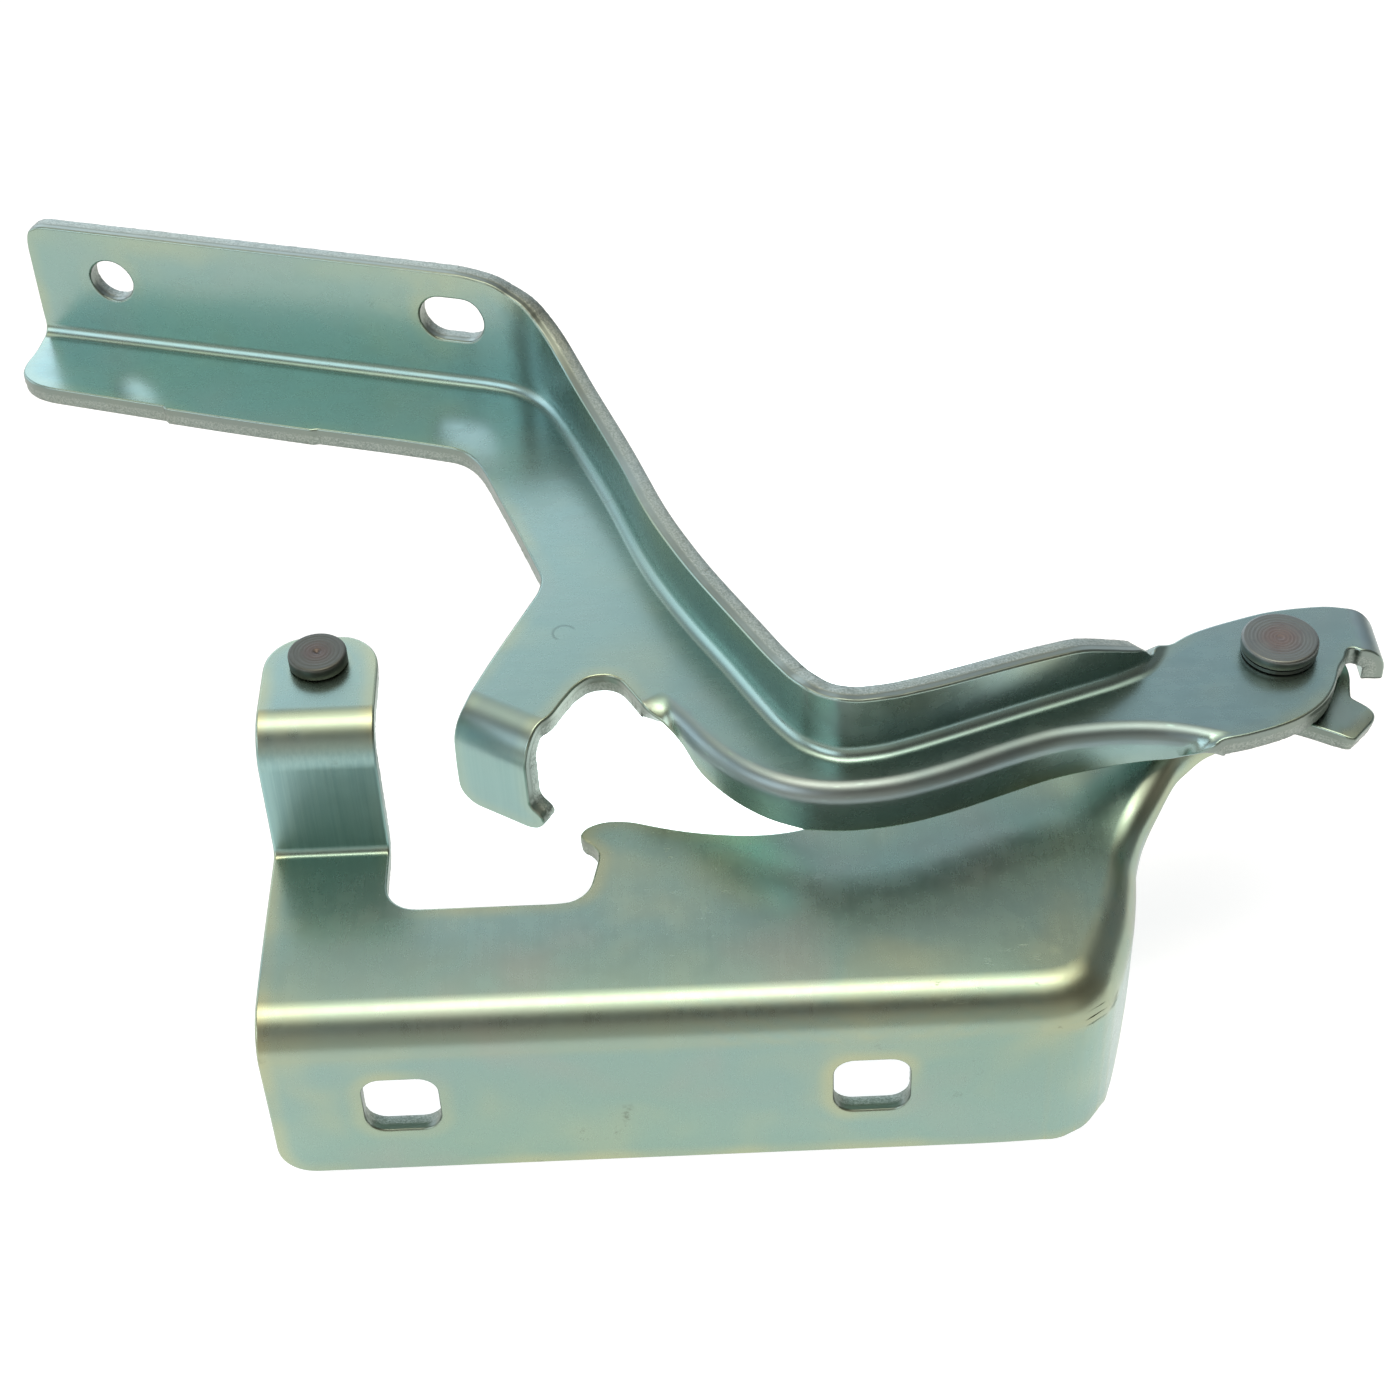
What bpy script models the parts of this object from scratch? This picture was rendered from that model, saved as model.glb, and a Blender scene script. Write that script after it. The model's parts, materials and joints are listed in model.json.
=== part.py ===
"""Bonnet hinge: two pressed steel plates joined by one rivet, with a stud in the bracket's raised ear.

Lengths below are millimetres; the objects are metres. The frame: X runs along the body flange toward the pivot, Z along the
pivot's axis toward the side that carries the rivet's head, and the origin is the middle of the body flange's outer face.
Each plate is drawn as a cut blank, cut into triangles, folded along its bend lines, and given its thickness by a modifier.
"""

import math

import bmesh
import bpy
import numpy as np
from mathutils import Vector
from mathutils.geometry import delaunay_2d_cdt

# Overall
MM = 0.001
REST_ANGLE = 15.8  # degrees that the bonnet flange leans from the body flange as shown
PIVOT = (105.6, -12.3)  # in the plate frame, whose zero is the bracket web's top face
FLANGE_MIDDLE = (-14.0, -79.3, -19.9)  # the body flange's outer face, which becomes the origin

# Plates
BRACKET_T = 3.5
ARM_T = 4.0
WEB_TANGENT_Y = -71.3  # where the body flange's bend starts
BODY_BEND_R = 8.0
SIDE_BEND_R = 5.0
BODY_FLANGE_Z = 37.2  # depth of the body flange under the web
EAR_Z = 28.0  # height of the stud's ear over the web
EAR_WALL_Y = -36.6
EAR_ROOT_R = 1.6
EAR_BEND_R = 8.0
PIVOT_EAR_Z = 11.8  # height of the pivot's ear over the web
NECK_IN, NECK_OUT = 18.0, 49.0  # the neck climbs between these distances from the pivot
ARM_TOP_Z = 17.0
ARM_ROOT_R = 2.4
BONNET_WALL_Y = 50.8  # in the arm's own frame
BONNET_FLANGE_Z = 26.5
LOWER_BEND_R = 4.8
LOWER_FLANGE_Z = 10.0
LOWER_IN, LOWER_OUT = (-109.0, -36.2), (-6.0, -26.0)  # where the lower flange starts and ends
LOWER_RISE, LOWER_FADE = 11.0, 9.0  # the lengths over which it folds down and flattens out again
LEG_BEND_R = 7.5
LEG_LIP_Z = 21.5
STOP_BEND_R = 5.0
STOP_LIP_Z = 7.4
STOP_X = 14.9  # where the stop lip's bend starts, from the pivot
STOP_END = -0.6

# Holes
BODY_SLOT = (13.2, 13.2, 3.6)  # width, height, corner radius
BODY_SLOT_X = (-54.4, 26.9)
BODY_SLOT_Z = -19.9
BONNET_HOLE = (-249.6, 15.0, 4.8)  # place along the arm, height over the web, radius
BONNET_SLOT = (-173.7, 15.4, 14.0, 10.2)
STUD_BORE_R = 3.3
STUD_XY = (-67.5, -17.0)

# Pins and rings
GAP = 0.3
SHANK_R = 4.0
HEAD_R = SHANK_R + 3.0
BUSH_R = SHANK_R + GAP + 1.4
WASHER_R = SHANK_R + 6.0
ARM_BORE_R = BUSH_R + GAP
EAR_BORE_R = SHANK_R + GAP
SQUASH = 0.5  # the arm's upper flange is drawn this much narrower on its blank, so that its bend can turn tightly


def smooth(t):
    t = np.clip(t, 0, 1)
    return t * t * (3 - 2 * t)


def spline(points, step=1.0):
    """Points evenly spaced along a Catmull-Rom curve through the points given."""
    p = np.array(points, float)
    p = np.vstack([2 * p[0] - p[1], p, 2 * p[-1] - p[-2]])
    t = np.linspace(0, 1, 25)[:-1, None]
    out = []
    for a, b, c, d in zip(p[:-3], p[1:-2], p[2:-1], p[3:]):
        out.append(0.5 * (2 * b + (c - a) * t + (2 * a - 5 * b + 4 * c - d) * t**2 + (3 * b - a - 3 * c + d) * t**3))
    out = np.vstack(out + [p[-2:-1]])
    s = np.r_[0, np.cumsum(np.hypot(*np.diff(out, axis=0).T))]
    n = max(2, int(round(s[-1] / step)) + 1)
    u = np.linspace(0, s[-1], n)
    return np.stack([np.interp(u, s, out[:, 0]), np.interp(u, s, out[:, 1])], 1)


class Line:
    """A bend line. Points to the right of its direction are past it."""

    def __init__(self, points, step=1.0):
        self.p = spline(points, step)
        d = np.gradient(self.p, axis=0)
        d /= np.hypot(*d.T)[:, None]
        self.n = np.stack([d[:, 1], -d[:, 0]], 1)
        self.s = np.r_[0, np.cumsum(np.hypot(*np.diff(self.p, axis=0).T))]
        self.turn = (np.gradient(self.n, self.s, axis=0) * d).sum(1)

    def near(self, q):
        """The nearest place on the line to each point: its length along, foot, normal and signed distance."""
        q = np.atleast_2d(np.asarray(q, float))
        a, b = self.p[:-1], self.p[1:]
        ab = b - a
        t = ((q[:, None] - a) * ab).sum(2) / (ab**2).sum(1)
        tc = np.clip(t, 0, 1)
        foot = a + tc[..., None] * ab
        i = ((q[:, None] - foot) ** 2).sum(2).argmin(1)
        s = self.s[i] + tc[np.arange(len(q)), i] * (self.s[i + 1] - self.s[i])
        for _ in range(6):  # slide along until the way from the foot meets the line squarely
            foot, n = self.at(s)
            d = q - foot
            along = d[:, 1] * n[:, 0] - d[:, 0] * n[:, 1]
            turn = np.interp(s, self.s, self.turn)
            step = along / np.clip(1 + turn * (d * n).sum(1), 0.3, 8)
            s = np.clip(s + np.clip(step, -1, 1), 0, self.s[-1])
        foot, n = self.at(s)
        return s, foot, n, ((q - foot) * n).sum(1)

    def at(self, s):
        """The line's point and normal at each length along it."""
        foot = np.stack([np.interp(s, self.s, self.p[:, k]) for k in (0, 1)], 1)
        n = np.stack([np.interp(s, self.s, self.n[:, k]) for k in (0, 1)], 1)
        return foot, n / np.hypot(*n.T)[:, None]

    def off(self, q, d):
        """The point at distance d from the line, beside the point q."""
        _, foot, n, _ = self.near(q)
        return (foot + n * d)[0]

    def strip(self, d, keep=None, every=3):
        """A line beside this one, at distance d."""
        p = self.p + self.n * d
        pick = np.unique(np.r_[np.arange(0, len(p), every), len(p) - 1])
        p = p[pick]
        return p if keep is None else p[[bool(keep(x)) for x in p]]


def arc(cx, cy, r, a0, a1, n):
    a = np.radians(np.linspace(a0, a1, n))
    return [(cx + r * math.cos(t), cy + r * math.sin(t)) for t in a]


def slot(cx, cy, w, h, r, squash=1.0, n=4):
    """A rounded rectangle, or a circle or a long slot when r is as much as half a side."""
    out = []
    for sx, sy, a in ((1, -1, -90), (1, 1, 0), (-1, 1, 90), (-1, -1, 180)):
        out += arc(cx + sx * (w / 2 - r), cy + sy * (h / 2 - r), r, a, a + 90, n + 1)
    keep = [out[0]]
    for p in out[1:]:
        if math.dist(p, keep[-1]) > 1e-6 and math.dist(p, out[0]) > 1e-6:
            keep.append(p)
    return [(x, cy + (y - cy) * squash) for x, y in keep]


def fold(q, z, line, radius, up, keep, squash=1.0, angle=90.0):
    """Folds the points past a bend line. The face that z follows has this radius."""
    s, foot, n, d = line.near(q)
    m = (d > 0) & keep(q)
    r = radius(s) if callable(radius) else np.full(len(q), float(radius))
    d = d / squash
    full = np.radians(angle(s) if callable(angle) else np.full(len(q), float(angle)))
    a = np.minimum(d / r, full)
    rest = np.maximum(d - r * full, 0)
    w = r * np.sin(a) + rest * np.cos(full)
    h = r * (1 - np.cos(a)) + rest * np.sin(full)
    q2, z2 = q.copy(), z.copy()
    q2[m] = (foot + n * w[:, None])[m]
    z2[m] += up * h[m]
    return q2, z2


def inside(p, loop):
    x, y = p
    hit = False
    for (x0, y0), (x1, y1) in zip(loop, loop[1:] + loop[:1]):
        if (y0 > y) != (y1 > y) and x < (x1 - x0) * (y - y0) / (y1 - y0) + x0:
            hit = not hit
    return hit


def blank(outline, holes, lines, points):
    """The blank's points and triangles, with an edge along each line given."""
    verts, edges = [], []
    for loop in [outline] + holes:
        k = len(verts)
        verts += [Vector(p) for p in loop]
        edges += [(k + i, k + (i + 1) % len(loop)) for i in range(len(loop))]
    for run in lines:
        k = len(verts)
        verts += [Vector(p) for p in run]
        edges += [(k + i, k + i + 1) for i in range(len(run) - 1)]
    verts += [Vector(p) for p in points]
    v, _, f, _, _, _ = delaunay_2d_cdt(verts, edges, [], 0, 1e-5)
    keep = []
    for t in f:
        c = sum((v[i] for i in t), Vector((0, 0))) / 3
        if inside(c, outline) and not any(inside(c, h) for h in holes):
            keep.append(tuple(t))
    used = sorted({i for t in keep for i in t})
    new = {i: k for k, i in enumerate(used)}
    return np.array([v[i][:] for i in used]), [tuple(new[i] for i in t) for t in keep]


def material(name, colour, roughness, metallic):
    m = bpy.data.materials.new(name)
    m.use_nodes = True
    b = m.node_tree.nodes["Principled BSDF"]
    b.inputs["Base Color"].default_value = (*colour, 1)
    b.inputs["Roughness"].default_value = roughness
    b.inputs["Metallic"].default_value = metallic
    return m


def add_object(name, mesh, mat, parent=None, at=(0, 0, 0)):
    o = bpy.data.objects.new(name, mesh)
    o.data.materials.append(mat)
    o.location = at
    o.parent = parent
    HINGE.objects.link(o)
    return o


def plate(name, q, z, faces, thickness, shift, mat, parent=None):
    """A folded plate: its drawn face as a mesh, and a Solidify modifier that adds its thickness below."""
    me = bpy.data.meshes.new(name)
    co = (np.column_stack([q, z]) + np.array(shift)) * MM
    me.from_pydata(co.tolist(), [], faces)
    bm = bmesh.new()
    bm.from_mesh(me)
    bmesh.ops.recalc_face_normals(bm, faces=bm.faces)
    flat = [f for f in bm.faces if abs(f.normal.z) > 0.99]
    if sum(f.normal.z * f.calc_area() for f in flat) < 0:
        bmesh.ops.reverse_faces(bm, faces=bm.faces)
    bm.to_mesh(me)
    bm.free()
    o = add_object(name, me, mat, parent)
    m = o.modifiers.new("Thickness", "SOLIDIFY")
    m.thickness = thickness * MM
    m.offset = -1
    m.use_even_offset = False
    return o


def turned(name, profile, mat, parent=None, at=(0, 0, 0), steps=32):
    """A solid of revolution about Z, from a closed profile of (radius, height) points."""
    bm = bmesh.new()
    ring = [bm.verts.new((r * MM, 0, h * MM)) for r, h in profile]
    closed = profile[0][0] > 0
    edges = [bm.edges.new((a, b)) for a, b in zip(ring, ring[1:] + (ring[:1] if closed else []))]
    bmesh.ops.spin(bm, geom=ring + edges, cent=(0, 0, 0), axis=(0, 0, 1), angle=2 * math.pi, steps=steps, use_merge=True)
    bmesh.ops.remove_doubles(bm, verts=bm.verts, dist=1e-7)
    bmesh.ops.recalc_face_normals(bm, faces=bm.faces)
    me = bpy.data.meshes.new(name)
    bm.to_mesh(me)
    bm.free()
    return add_object(name, me, mat, parent, at)


# The bracket

def make_bracket(mat):
    """Body flange below, side flange round the corner, raised ear at the left, notch, and the neck up to the pivot's ear."""
    px, py = PIVOT
    bend = Line([(-90, WEB_TANGENT_Y), (-60, WEB_TANGENT_Y), (-20, WEB_TANGENT_Y), (20, WEB_TANGENT_Y), (52, WEB_TANGENT_Y),
                 (58.2, -71.1), (61.4, -69.6), (62.9, -66.8), (64.9, -62.4), (67.5, -56.5), (69.8, -49.6), (71.4, -43.6),
                 (74.3, -36.8), (78.6, -31.0), (82.5, -26.6), (86.6, -24.1), (90.4, -22.4), (94.6, -21.8), (98.4, -22.6),
                 (102.6, -25.4), (107, -30)])
    s_corner = bend.near([(57, WEB_TANGENT_Y)])[0][0]

    def radius(s):
        return BODY_BEND_R + (SIDE_BEND_R - BODY_BEND_R) * smooth((s - s_corner - 6) / 34)

    d_body = BODY_BEND_R * math.pi / 2 + BODY_FLANGE_Z - BODY_BEND_R
    y_body = WEB_TANGENT_Y - d_body
    root = EAR_WALL_Y - EAR_ROOT_R  # where the ear's root bend starts
    len_root = EAR_ROOT_R * math.pi / 2
    len_wall = EAR_Z - EAR_ROOT_R - EAR_BEND_R
    len_bend = EAR_BEND_R * math.pi / 2
    y_flat = root + len_root + len_wall + len_bend  # blank place where the ear is flat again
    ear_gain = y_flat - (EAR_WALL_Y + EAR_BEND_R)

    left = [(-77.6, WEB_TANGENT_Y), (-77.6, -60), (-77.6, root), (-77.5, y_flat)]
    stud_y = STUD_XY[1] + ear_gain
    ear = arc(-69.3, stud_y - 0.6, 8.2, 180, 108, 4) + arc(-65.3, stud_y - 0.8, 8.4, 72, 0, 4) + [(-56.8, y_flat)]
    notch = [(-56.7, root), (-56.7, -44.2)] + arc(-51.2, -45.9, 5.5, 180, 270, 5) + [(-27.0, -51.5)]
    notch += arc(-26.2, -45.6, 5.9, 288, 346, 4) + [(-19.4, -41.6), (-19.3, -39.6), (-20.4, -37.6), (-22.0, -36.4)]
    notch += [(-22.7, -35.0), (-21.9, -33.3), (-20.0, -32.1), (-17.6, -31.5), (-13.6, -31.7), (-8.5, -33.5)]
    neck = spline([(-3.3, -35.0), (6.9, -36.6), (16.2, -36.0), (28, -31.8), (45, -23.0), (62, -14.0), (79, -7.0),
                   (90.2, -4.2)], 6.0).tolist()
    ear2 = arc(px, py, 10.7, 122, 82, 5) + arc(px, py, 12.4, 62, 48, 2) + arc(px, py, 13.6, 30, -18, 5)
    tab = [(118.0, -19.6), (120.7, -22.4), (121.5, -24.2), (120.9, -25.9), (116.6, -30.6), (115.2, -30.3),
           (109.2, -26.6), (105.2, -24.6), (101.8, -23.6)] + [tuple(bend.off((99.6, -23), 0))]
    side = [((98.3, -26.0), 4.0), ((96.6, -26.0), 7.0), ((93.4, -26.0), 8.2), ((89.2, -27.0), 8.3), ((85.0, -29.4), 8.4),
            ((81.6, -32.8), 8.6), ((78.0, -37.0), 9.6), ((75.4, -41.6), 12.2), ((73.6, -47.0), 16.0),
            ((71.6, -53.0), 22.0), ((69.2, -59.0), 29.0), ((66.4, -64.6), 36.6), ((63.6, -68.8), 40.2),
            ((61.6, -71.6), 41.4), ((58.8, -73), 42.0), ((55.0, -73), d_body), ((50.0, -73), d_body)]
    lower = [tuple(bend.off(p, d)) for p, d in side]
    lower += [(20, y_body), (-10, y_body), (-40, y_body)] + arc(-71.2, y_body + 6.2, 6.2, 270, 180, 5)
    outline = left + ear + notch + neck + ear2 + tab + lower + [(-77.4, -100), (-77.5, -85)]

    slot_y = WEB_TANGENT_Y - (BODY_BEND_R * math.pi / 2 - BODY_SLOT_Z - BODY_BEND_R)
    holes = [slot(x, slot_y, *BODY_SLOT) for x in BODY_SLOT_X]
    holes.append(slot(px, py, 2 * EAR_BORE_R, 2 * EAR_BORE_R, EAR_BORE_R - 1e-4, n=5))
    holes.append(slot(STUD_XY[0], stud_y, 2 * STUD_BORE_R, 2 * STUD_BORE_R, STUD_BORE_R - 1e-4, n=4))

    lines = []
    for k in range(6):
        rows = bend.p + bend.n * (radius(bend.s) * math.pi / 2 * k / 5)[:, None]
        pick = [i for i in range(len(rows)) if i % 12 == 0 or (bend.s[i] > s_corner - 4 and i % 4 == 0)]
        lines.append(rows[pick].tolist())
    for y in np.r_[root + len_root * np.linspace(0, 1, 4), y_flat - len_bend * np.linspace(1, 0, 6)]:
        lines.append([(-80, y), (-50, y)])
    points = []
    for r in NECK_IN + (NECK_OUT - NECK_IN) * np.linspace(0, 1, 10):  # rings where the neck slopes
        for a in np.arange(150, 262, 8.0):
            points.append((px + r * math.cos(math.radians(a)), py + r * math.sin(math.radians(a))))
    points += [(x, y) for x in (-60, -30, 0, 30) for y in (-58, -64)]
    points += bend.strip(24, every=8).tolist()
    v, faces = blank(outline, holes, lines, points)

    q, z = v.copy(), np.zeros(len(v))
    m = (v[:, 0] < -45) & (v[:, 1] > root)
    d = v[m, 1] - root
    a = np.minimum(d / EAR_ROOT_R, math.pi / 2)
    y = root + EAR_ROOT_R * np.sin(a)
    h = EAR_ROOT_R * (1 - np.cos(a)) + np.clip(d - len_root, 0, len_wall)
    b = np.clip((d - len_root - len_wall) / EAR_BEND_R, 0, math.pi / 2)
    y += EAR_BEND_R * (1 - np.cos(b)) + np.maximum(d - len_root - len_wall - len_bend, 0)
    h += EAR_BEND_R * np.sin(b)
    q[m, 1], z[m] = y, h
    q, z = fold(q, z, bend, radius, -1, lambda p: (p[:, 1] < -20) & (p[:, 0] < 100.2))
    z += neck_height(v)
    shift = tuple(-c for c in FLANGE_MIDDLE)
    return plate("body_bracket", q, z, faces, BRACKET_T, shift, mat)


def neck_height(v):
    """How far the neck stands over the web: a cone up to the pivot's ear, rounded at its foot and its top."""
    r = np.hypot(v[:, 0] - PIVOT[0], v[:, 1] - PIVOT[1])
    return PIVOT_EAR_Z * (1 - smooth((r - NECK_IN) / (NECK_OUT - NECK_IN)))


# The arm, in its own frame: the pivot is the zero and the bonnet flange runs along X

def make_arm(mat, parent):
    """Bonnet flange, gooseneck with an upper and a lower flange, hooked leg, and the pivot's end with its stop lip."""
    wall = [(-285, BONNET_WALL_Y), (-262, BONNET_WALL_Y), (-235, BONNET_WALL_Y), (-205, BONNET_WALL_Y), (-176, BONNET_WALL_Y),
            (-163.0, 50.5), (-155.4, 47.9), (-149.4, 42.6), (-142.4, 33.9), (-130.4, 17.6), (-118.0, -0.9),
            (-107.0, -14.2), (-96.2, -25.4), (-87.5, -34.6), (-81.9, -39.9), (-76.6, -43.2), (-70.6, -43.8),
            (-64.2, -40.8), (-57.0, -35.9), (-44.0, -26.2), (-33.3, -18.4), (-27.6, -14.0), (-23.8, -10.2),
            (-21.9, -6.0), (-21.6, 0.0), (-21.6, 14.0)]
    line = Line(wall[::-1])  # points past it lie above and to its right
    upper = Line((line.p - line.n * ARM_ROOT_R)[::6])
    full = ARM_ROOT_R * math.pi / 2

    def over(x, y, h):
        """A blank point on the upper flange, h over the web."""
        return tuple(upper.off((x, y), SQUASH * (h - ARM_ROOT_R + full)))

    face = [(-117, -30.0), (-110.5, -35.2), (-104.0, -40.2), (-97.4, -46.0), (-90.2, -50.6), (-82.8, -53.3), (-76.4, -53.9),
            (-69.4, -52.9), (-60.6, -49.6), (-52.0, -44.2), (-43.6, -37.6), (-35.4, -31.8), (-26.8, -28.2),
            (-18.6, -26.2), (-11.0, -26.0), (-4.0, -27.0), (4.0, -29.0)]
    low = Line(face)
    low = Line((low.p - low.n * LOWER_BEND_R)[::6])
    s_in, s_out = (low.near([p])[0][0] for p in (LOWER_IN, LOWER_OUT))

    def lower_angle(s):
        """How far the lower flange is folded along its line: it starts flat by the leg and ends flat by the pivot."""
        return 90.0 * smooth((s - s_in) / LOWER_RISE) * smooth((s_out - s) / LOWER_FADE)

    def under(x, y, h):
        """A blank point on the lower flange, h below the arm's top."""
        return tuple(low.off((x, y), h - LOWER_BEND_R + LOWER_BEND_R * math.pi / 2))

    leg_dir = math.radians(-17.5)
    leg_at = np.array([-133.0, -43.4])  # on the leg's bend line
    u = np.array([math.cos(leg_dir), math.sin(leg_dir)])
    leg = Line([leg_at - 30 * u, leg_at, leg_at + 30 * u])
    lip = LEG_LIP_Z - LEG_BEND_R + LEG_BEND_R * math.pi / 2

    def on_lip(a, h):
        """A blank point on the leg's lip: a along the bend line, h past the bend's start on the blank."""
        p = leg_at + a * u + h * np.array([u[1], -u[0]])
        return tuple(p)

    c, s = math.cos(math.radians(REST_ANGLE)), math.sin(math.radians(REST_ANGLE))

    def turn(x, y):
        """A point given along the body flange's directions, which the stop's lip is square to as shown."""
        return (x * c - y * s, x * s + y * c)

    stop = Line([turn(STOP_X, -12), turn(STOP_X, 0), turn(STOP_X, 14), turn(STOP_X, 30)])
    stop_len = STOP_LIP_Z - STOP_BEND_R + STOP_BEND_R * math.pi / 2

    bonnet_top = BONNET_FLANGE_Z
    out = [over(-267.6, 50.8, 1.5), over(-267.7, 50.8, 8), over(-267.7, 50.8, 22.0), over(-266.8, 50.8, 25.2)]
    out += [over(-264.2, 50.8, bonnet_top)]
    out += [over(x, 50.8, bonnet_top) for x in (-240, -205, -180)]
    out += [over(-170, 50.8, bonnet_top - 0.2), over(-164, 50.5, bonnet_top - 1.2), over(-157.5, 49.0, 22.8),
            over(-152.4, 46.0, 18.6), over(-148.0, 41.0, 15.6), over(-142.4, 33.9, 13.8), over(-130.4, 17.6, 12.8),
            over(-118.0, -0.9, 12.4), over(-107.0, -14.2, 12.2), over(-96.2, -25.4, 12.2), over(-87.5, -34.6, 12.3),
            over(-81.9, -39.9, 12.5), over(-76.6, -43.2, 12.6), over(-70.6, -43.8, 12.6), over(-64.2, -40.8, 12.2),
            over(-57.0, -35.9, 11.6), over(-44.0, -26.2, 10.9), over(-38, -21.8, 10.4), over(-33.3, -18.4, 9.9),
            over(-28.6, -14.6, 7.9), over(-24.4, -11.4, 6.6), over(-22.6, -9.4, 5.2), tuple(upper.off((-21.6, -7.2), SQUASH * 3.4)),
            (-20.8, -4.6)]
    out += [(-19.1, -1.6), (-16.4, 1.8), (-12.1, 5.2), (-6.6, 8.9), (-3.4, 10.9), (2.0, 13.3), (7.6, 15.1), turn(STOP_X, 11.6)]
    out += [turn(STOP_X + 3, 11.0), turn(STOP_X + 6.0, 9.6), turn(STOP_X + stop_len - 1, 7.6), turn(STOP_X + stop_len, 5.4),
            turn(STOP_X + stop_len, STOP_END), turn(STOP_X, STOP_END), turn(14.0, 0.2), turn(13.0, 0.1),
            turn(12.2, -0.9), turn(11.6, -2.6), (11.0, -2.0), (10.8, -6.3), (9.6, -11.2), (6.4, -16.3), (1.8, -20.3),
            (-4.0, -24.0), (-7.6, -25.6)]
    out += [tuple(low.off((-8.4, -25.6), 5.2)), tuple(low.off((-11.5, -25.0), 7.2)), under(-15.0, -25.4, 6.2),
            under(-20.6, -26.0, 7.4), under(-27, -28.2, 8.6), under(-35.4, -31.8, 9.6)]
    out += [under(x, y, LOWER_FLANGE_Z) for x, y in face[9:5:-1]]
    out += [under(-76.4, -53.9, 9.9), under(-82.8, -53.3, 9.6), under(-90.2, -50.6, 9.0), under(-97.4, -46.0, 7.8)]
    out += [tuple(low.off(p, d)) for p, d in (((-101.0, -42.6), 8.4), ((-103.4, -40.6), 7.0),
                                              ((-105.4, -39.2), 6.3))]
    out += [(-107.4, -39.7), (-109.2, -38.8), (-110.9, -37.2), (-112.9, -35.1), (-115.4, -32.7), (-117.8, -32.0),
            (-119.9, -32.6), (-121.4, -33.5), (-123.0, -36.2), (-124.2, -40.8), (-124.9, -44.6)]
    out += [on_lip(7.2, 2.0), on_lip(7.6, 8.0), on_lip(7.8, lip - 6.4), on_lip(8.4, lip - 5.4), on_lip(10.4, lip - 4.2),
            on_lip(10.9, lip - 2.8), on_lip(9.6, lip - 0.9), on_lip(7.6, lip), on_lip(-5.4, lip), on_lip(-8.2, lip - 2.4),
            on_lip(-8.4, lip - 8.0), on_lip(-8.0, 3.0)]
    out += [(-141.2, -41.0), (-140.4, -33.0), (-138.6, -20.0), (-137.4, -11.4), (-138.0, -7.6), (-145.0, 2.6),
            (-153.0, 13.8), (-158.4, 21.4), (-161.7, 25.4), (-166.0, 28.2), (-179.0, 28.7), (-198.0, 28.7),
            (-215.0, 29.0), (-236.0, 30.0), (-258.8, 31.0), (-262.6, 32.0), (-266.0, 34.6), (-267.0, 38.2),
            (-266.8, 43.0)]

    hx, hz, hr = BONNET_HOLE
    yb = BONNET_WALL_Y - ARM_ROOT_R

    def flange_y(h):
        return yb + SQUASH * (h - ARM_ROOT_R + full)

    sx, sz, sw, sh = BONNET_SLOT
    holes = [slot(hx, flange_y(hz), 2 * hr, 2 * hr, hr - 1e-4, SQUASH, n=4),
             slot(sx, flange_y(sz), sw, sh, sh / 2 - 0.3, SQUASH, n=4),
             slot(0, 0, 2 * ARM_BORE_R, 2 * ARM_BORE_R, ARM_BORE_R - 1e-4, n=5)]
    lines = [upper.strip(SQUASH * full * k / 3, every=3).tolist() for k in range(4)]
    lines += [low.strip(LOWER_BEND_R * math.pi / 2 * k / 4, every=4).tolist() for k in range(5)]
    for k in range(5):
        d = LEG_BEND_R * math.pi / 2 * k / 4
        lines.append([on_lip(-14, d), on_lip(12, d)])
    for k in range(5):
        d = STOP_BEND_R * math.pi / 2 * k / 4
        lines.append([turn(STOP_X + d, 14), turn(STOP_X + d, -1)])
    v, faces = blank(out, holes, lines, [])

    q, z = v.copy(), np.zeros(len(v))
    q, z = fold(q, z, upper, ARM_ROOT_R, 1, lambda p: (p[:, 0] < -15) & (p[:, 1] > -60), SQUASH)
    q, z = fold(q, z, low, LOWER_BEND_R, -1, lambda p: (p[:, 0] > -112) & (p[:, 1] < -12), 1.0, lower_angle)
    q, z = fold(q, z, leg, LEG_BEND_R, -1, lambda p: (p[:, 0] < -118) & (p[:, 1] < -36))
    q, z = fold(q, z, stop, STOP_BEND_R, -1, lambda p: (p[:, 0] > 8) & (p[:, 1] > -2))
    arm_z = ARM_TOP_Z - FLANGE_MIDDLE[2]
    return plate("bonnet_arm", q, z, faces, ARM_T, (0, 0, arm_z), mat, parent)


# Pins and rings

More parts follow.
